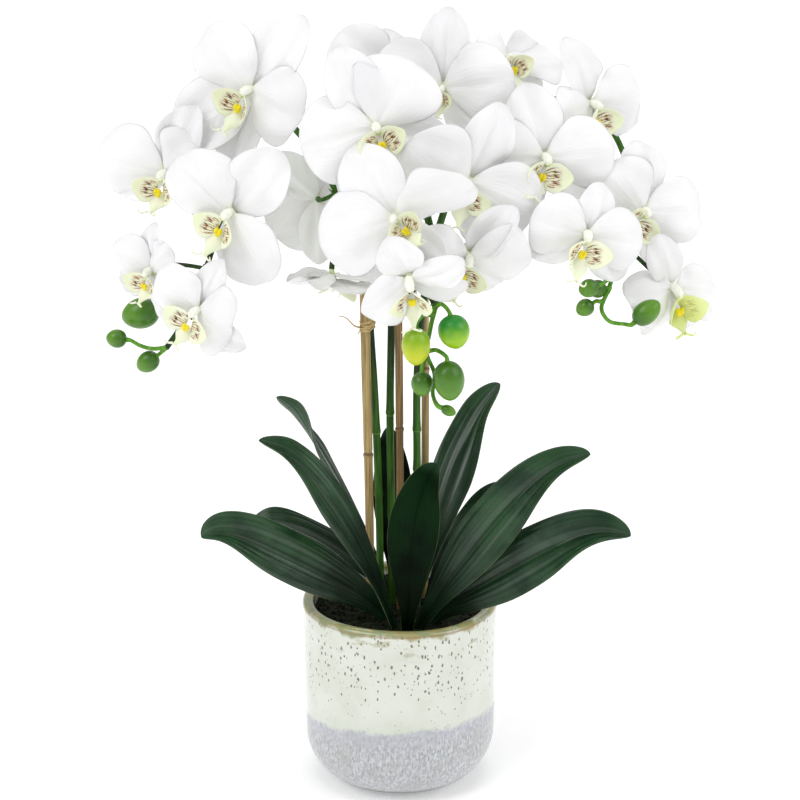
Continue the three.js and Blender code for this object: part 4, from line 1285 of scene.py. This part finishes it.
class ORCHID_OT_buds(MakeOrchidPiece, bpy.types.Operator):
    """Makes the buds"""

    bl_idname = "orchid.make_buds"
    bl_label = "Buds"

    def execute(self, context):
        finishes = {name: moulded_bud(f"moulded_bud_{name}", *tones) for name, tones in BUD_FINISHES.items()}
        for number, (at, tip, length, width, finish) in enumerate(BUDS, 1):
            body = bud_body(at, tip, length, width)
            make_piece(f"flower_bud_{number:02d}", [body], [f"bud_{number:02d}"], [finishes[finish]])
        return {"FINISHED"}


class ORCHID_OT_tie(MakeOrchidPiece, bpy.types.Operator):
    """Makes the raffia tie"""

    bl_idname = "orchid.make_tie"
    bl_label = "Raffia tie"

    def execute(self, context):
        make_piece("wound_raffia", tie_bodies(), ["raffia_tie"], [raffia()])
        return {"FINISHED"}


class ORCHID_OT_flowers(MakeOrchidPiece, bpy.types.Operator):
    """Makes the flowers: petals and sepals, and the lip with its column"""

    bl_idname = "orchid.make_flowers"
    bl_label = "Flowers"

    def execute(self, context):
        cloth = coated_petal_cloth()
        ripe = lip_cloth("lip_cloth", "#F4F8E2", "#F0F7D4", 1.0)
        young = lip_cloth("lip_cloth_green", "#DDEA98", "#E9F3B6", 0.3)
        callus = plain_moulding("callus_moulding", "#F8E81E", "#EAD410", 0.4)
        column = plain_moulding("column_moulding", "#FBFBF4", "#EDF1DC", 0.45)
        pit = plain_moulding("pit_paint", "#1E1712", "#2C211A", 0.6)
        hub = plain_moulding("hub_moulding", "#DDE5BC", "#B9CC8C", 0.5)
        hollow = plain_moulding("hollow_moulding", "#DDE8A6", "#C6D67F", 0.4)
        seed = context.scene.orchid_flowers.seed
        for number, (_, at, look, radius, petals, sepals) in enumerate(FLOWERS, 1):
            rng = np.random.default_rng(100 * seed + number)
            parts = {
                "dorsal": ("sepal", 0),
                "right_sepal": ("sepal", sepals[0]),
                "left_sepal": ("sepal", sepals[1]),
                "right_petal": ("petal", petals[0]),
                "left_petal": ("petal", petals[1]),
            }
            tepals = []
            for part, (kind, angle) in parts.items():
                turn, *shape = SHAPED.get(number, {}).get(part, (0, 1, 1, 0))
                tepals.append((*skin(*tepal_middle(kind, radius, angle + turn, *shape, rng)), 0))
            tepals.append((*hub_body(), 1))
            axes = flower_axes(look)
            node = f"flower_{number:02d}"
            make_piece(f"tepals_{number:02d}", placed(tepals, at, axes), [node], [cloth, hub])
            lip = young if number in YOUNG else ripe
            turn, left, right, larger = LIPS.get(number, (0, 0.5, 0.45, 1.0))
            size = (LIP_SIZE + LIP_SHARE * radius) * larger
            hanging = flower_axes((look[0], look[1], look[2] + turn))
            bodies = placed(lip_bodies(size, number in YOUNG, (left, right), rng), at, hanging)
            bodies += placed(column_bodies(size, number in PITTED), at, axes)
            make_piece(f"lip_{number:02d}", bodies, [node], [lip, callus, column, pit, hollow])
        return {"FINISHED"}


class ORCHID_OT_stage(MakeOrchidPiece, bpy.types.Operator):
    """Makes the pale floor, the soft light and the camera"""

    bl_idname = "orchid.make_stage"
    bl_label = "Stage"

    def execute(self, context):
        scene = context.scene
        stage = scene.orchid_stage
        mesh = bpy.data.meshes.new("floor")
        corners = [(FLOOR_HALF * x, FLOOR_HALF * y, 0) for x, y in ((-1, -1), (1, -1), (1, 1), (-1, 1))]
        mesh.from_pydata(corners, [], [(0, 1, 2, 3)])
        mesh.materials.append(lit_acrylic())
        floor = bpy.data.objects.new("floor", mesh)
        scene.collection.objects.link(floor)
        world = bpy.data.worlds.new("studio")
        world.use_nodes = True
        sky = world.node_tree.nodes["Background"]
        sky.inputs["Color"].default_value = (1.0, 1.0, 1.0, 1.0)
        sky.inputs["Strength"].default_value = stage.sky
        scene.world = world
        for name, (x, y, z), wide, strength in LAMPS:
            light = bpy.data.lights.new(name, "SUN")
            light.angle = math.radians(wide)
            light.energy = strength * stage.key
            lamp = bpy.data.objects.new(name, light)
            lamp.location = (x, y, z)
            lamp.rotation_euler = (math.atan2(math.hypot(x, y), z), 0.0, math.atan2(x, -y))
            scene.collection.objects.link(lamp)
        lens = bpy.data.cameras.new("camera")
        lens.sensor_width = SENSOR_MM
        lens.lens = LENS_MM
        lens.clip_end = FAR
        camera = bpy.data.objects.new("camera", lens)
        camera.location = (0.0, -stage.distance, stage.height)
        camera.rotation_euler = (math.pi / 2 - stage.tilt, 0.0, 0.0)
        scene.collection.objects.link(camera)
        scene.camera = camera
        scene.view_settings.view_transform = "Standard"
        return {"FINISHED"}


MAKERS = (
    ORCHID_OT_pot, ORCHID_OT_soil, ORCHID_OT_leaves, ORCHID_OT_canes, ORCHID_OT_spikes, ORCHID_OT_buds,
    ORCHID_OT_tie, ORCHID_OT_flowers, ORCHID_OT_stage,
)
SETTINGS = {
    "orchid_pot": OrchidPotSettings,
    "orchid_leaves": OrchidLeafSettings,
    "orchid_flowers": OrchidFlowerSettings,
    "orchid_stage": OrchidStageSettings,
}


class ORCHID_PT_panel(bpy.types.Panel):
    """Lists the settings and the operators"""

    bl_idname = "ORCHID_PT_panel"
    bl_label = "Potted orchid"
    bl_space_type = "VIEW_3D"
    bl_region_type = "UI"
    bl_category = "Orchid"

    def draw(self, context):
        for name, group in SETTINGS.items():
            box = self.layout.box()
            for field in group.__annotations__:
                box.prop(getattr(context.scene, name), field)
        for maker in MAKERS:
            self.layout.operator(maker.bl_idname)


def register():
    for group in SETTINGS.values():
        bpy.utils.register_class(group)
    for name, group in SETTINGS.items():
        setattr(bpy.types.Scene, name, PointerProperty(type=group))
    for maker in (*MAKERS, ORCHID_PT_panel):
        bpy.utils.register_class(maker)


def unregister():
    for maker in (*MAKERS, ORCHID_PT_panel):
        bpy.utils.unregister_class(maker)
    for name in SETTINGS:
        delattr(bpy.types.Scene, name)
    for group in SETTINGS.values():
        bpy.utils.unregister_class(group)


def main():
    """Makes every piece in order."""
    register()
    for maker in MAKERS:
        family, name = maker.bl_idname.split(".")
        getattr(getattr(bpy.ops, family), name)()


if __name__ == "__main__":
    main()
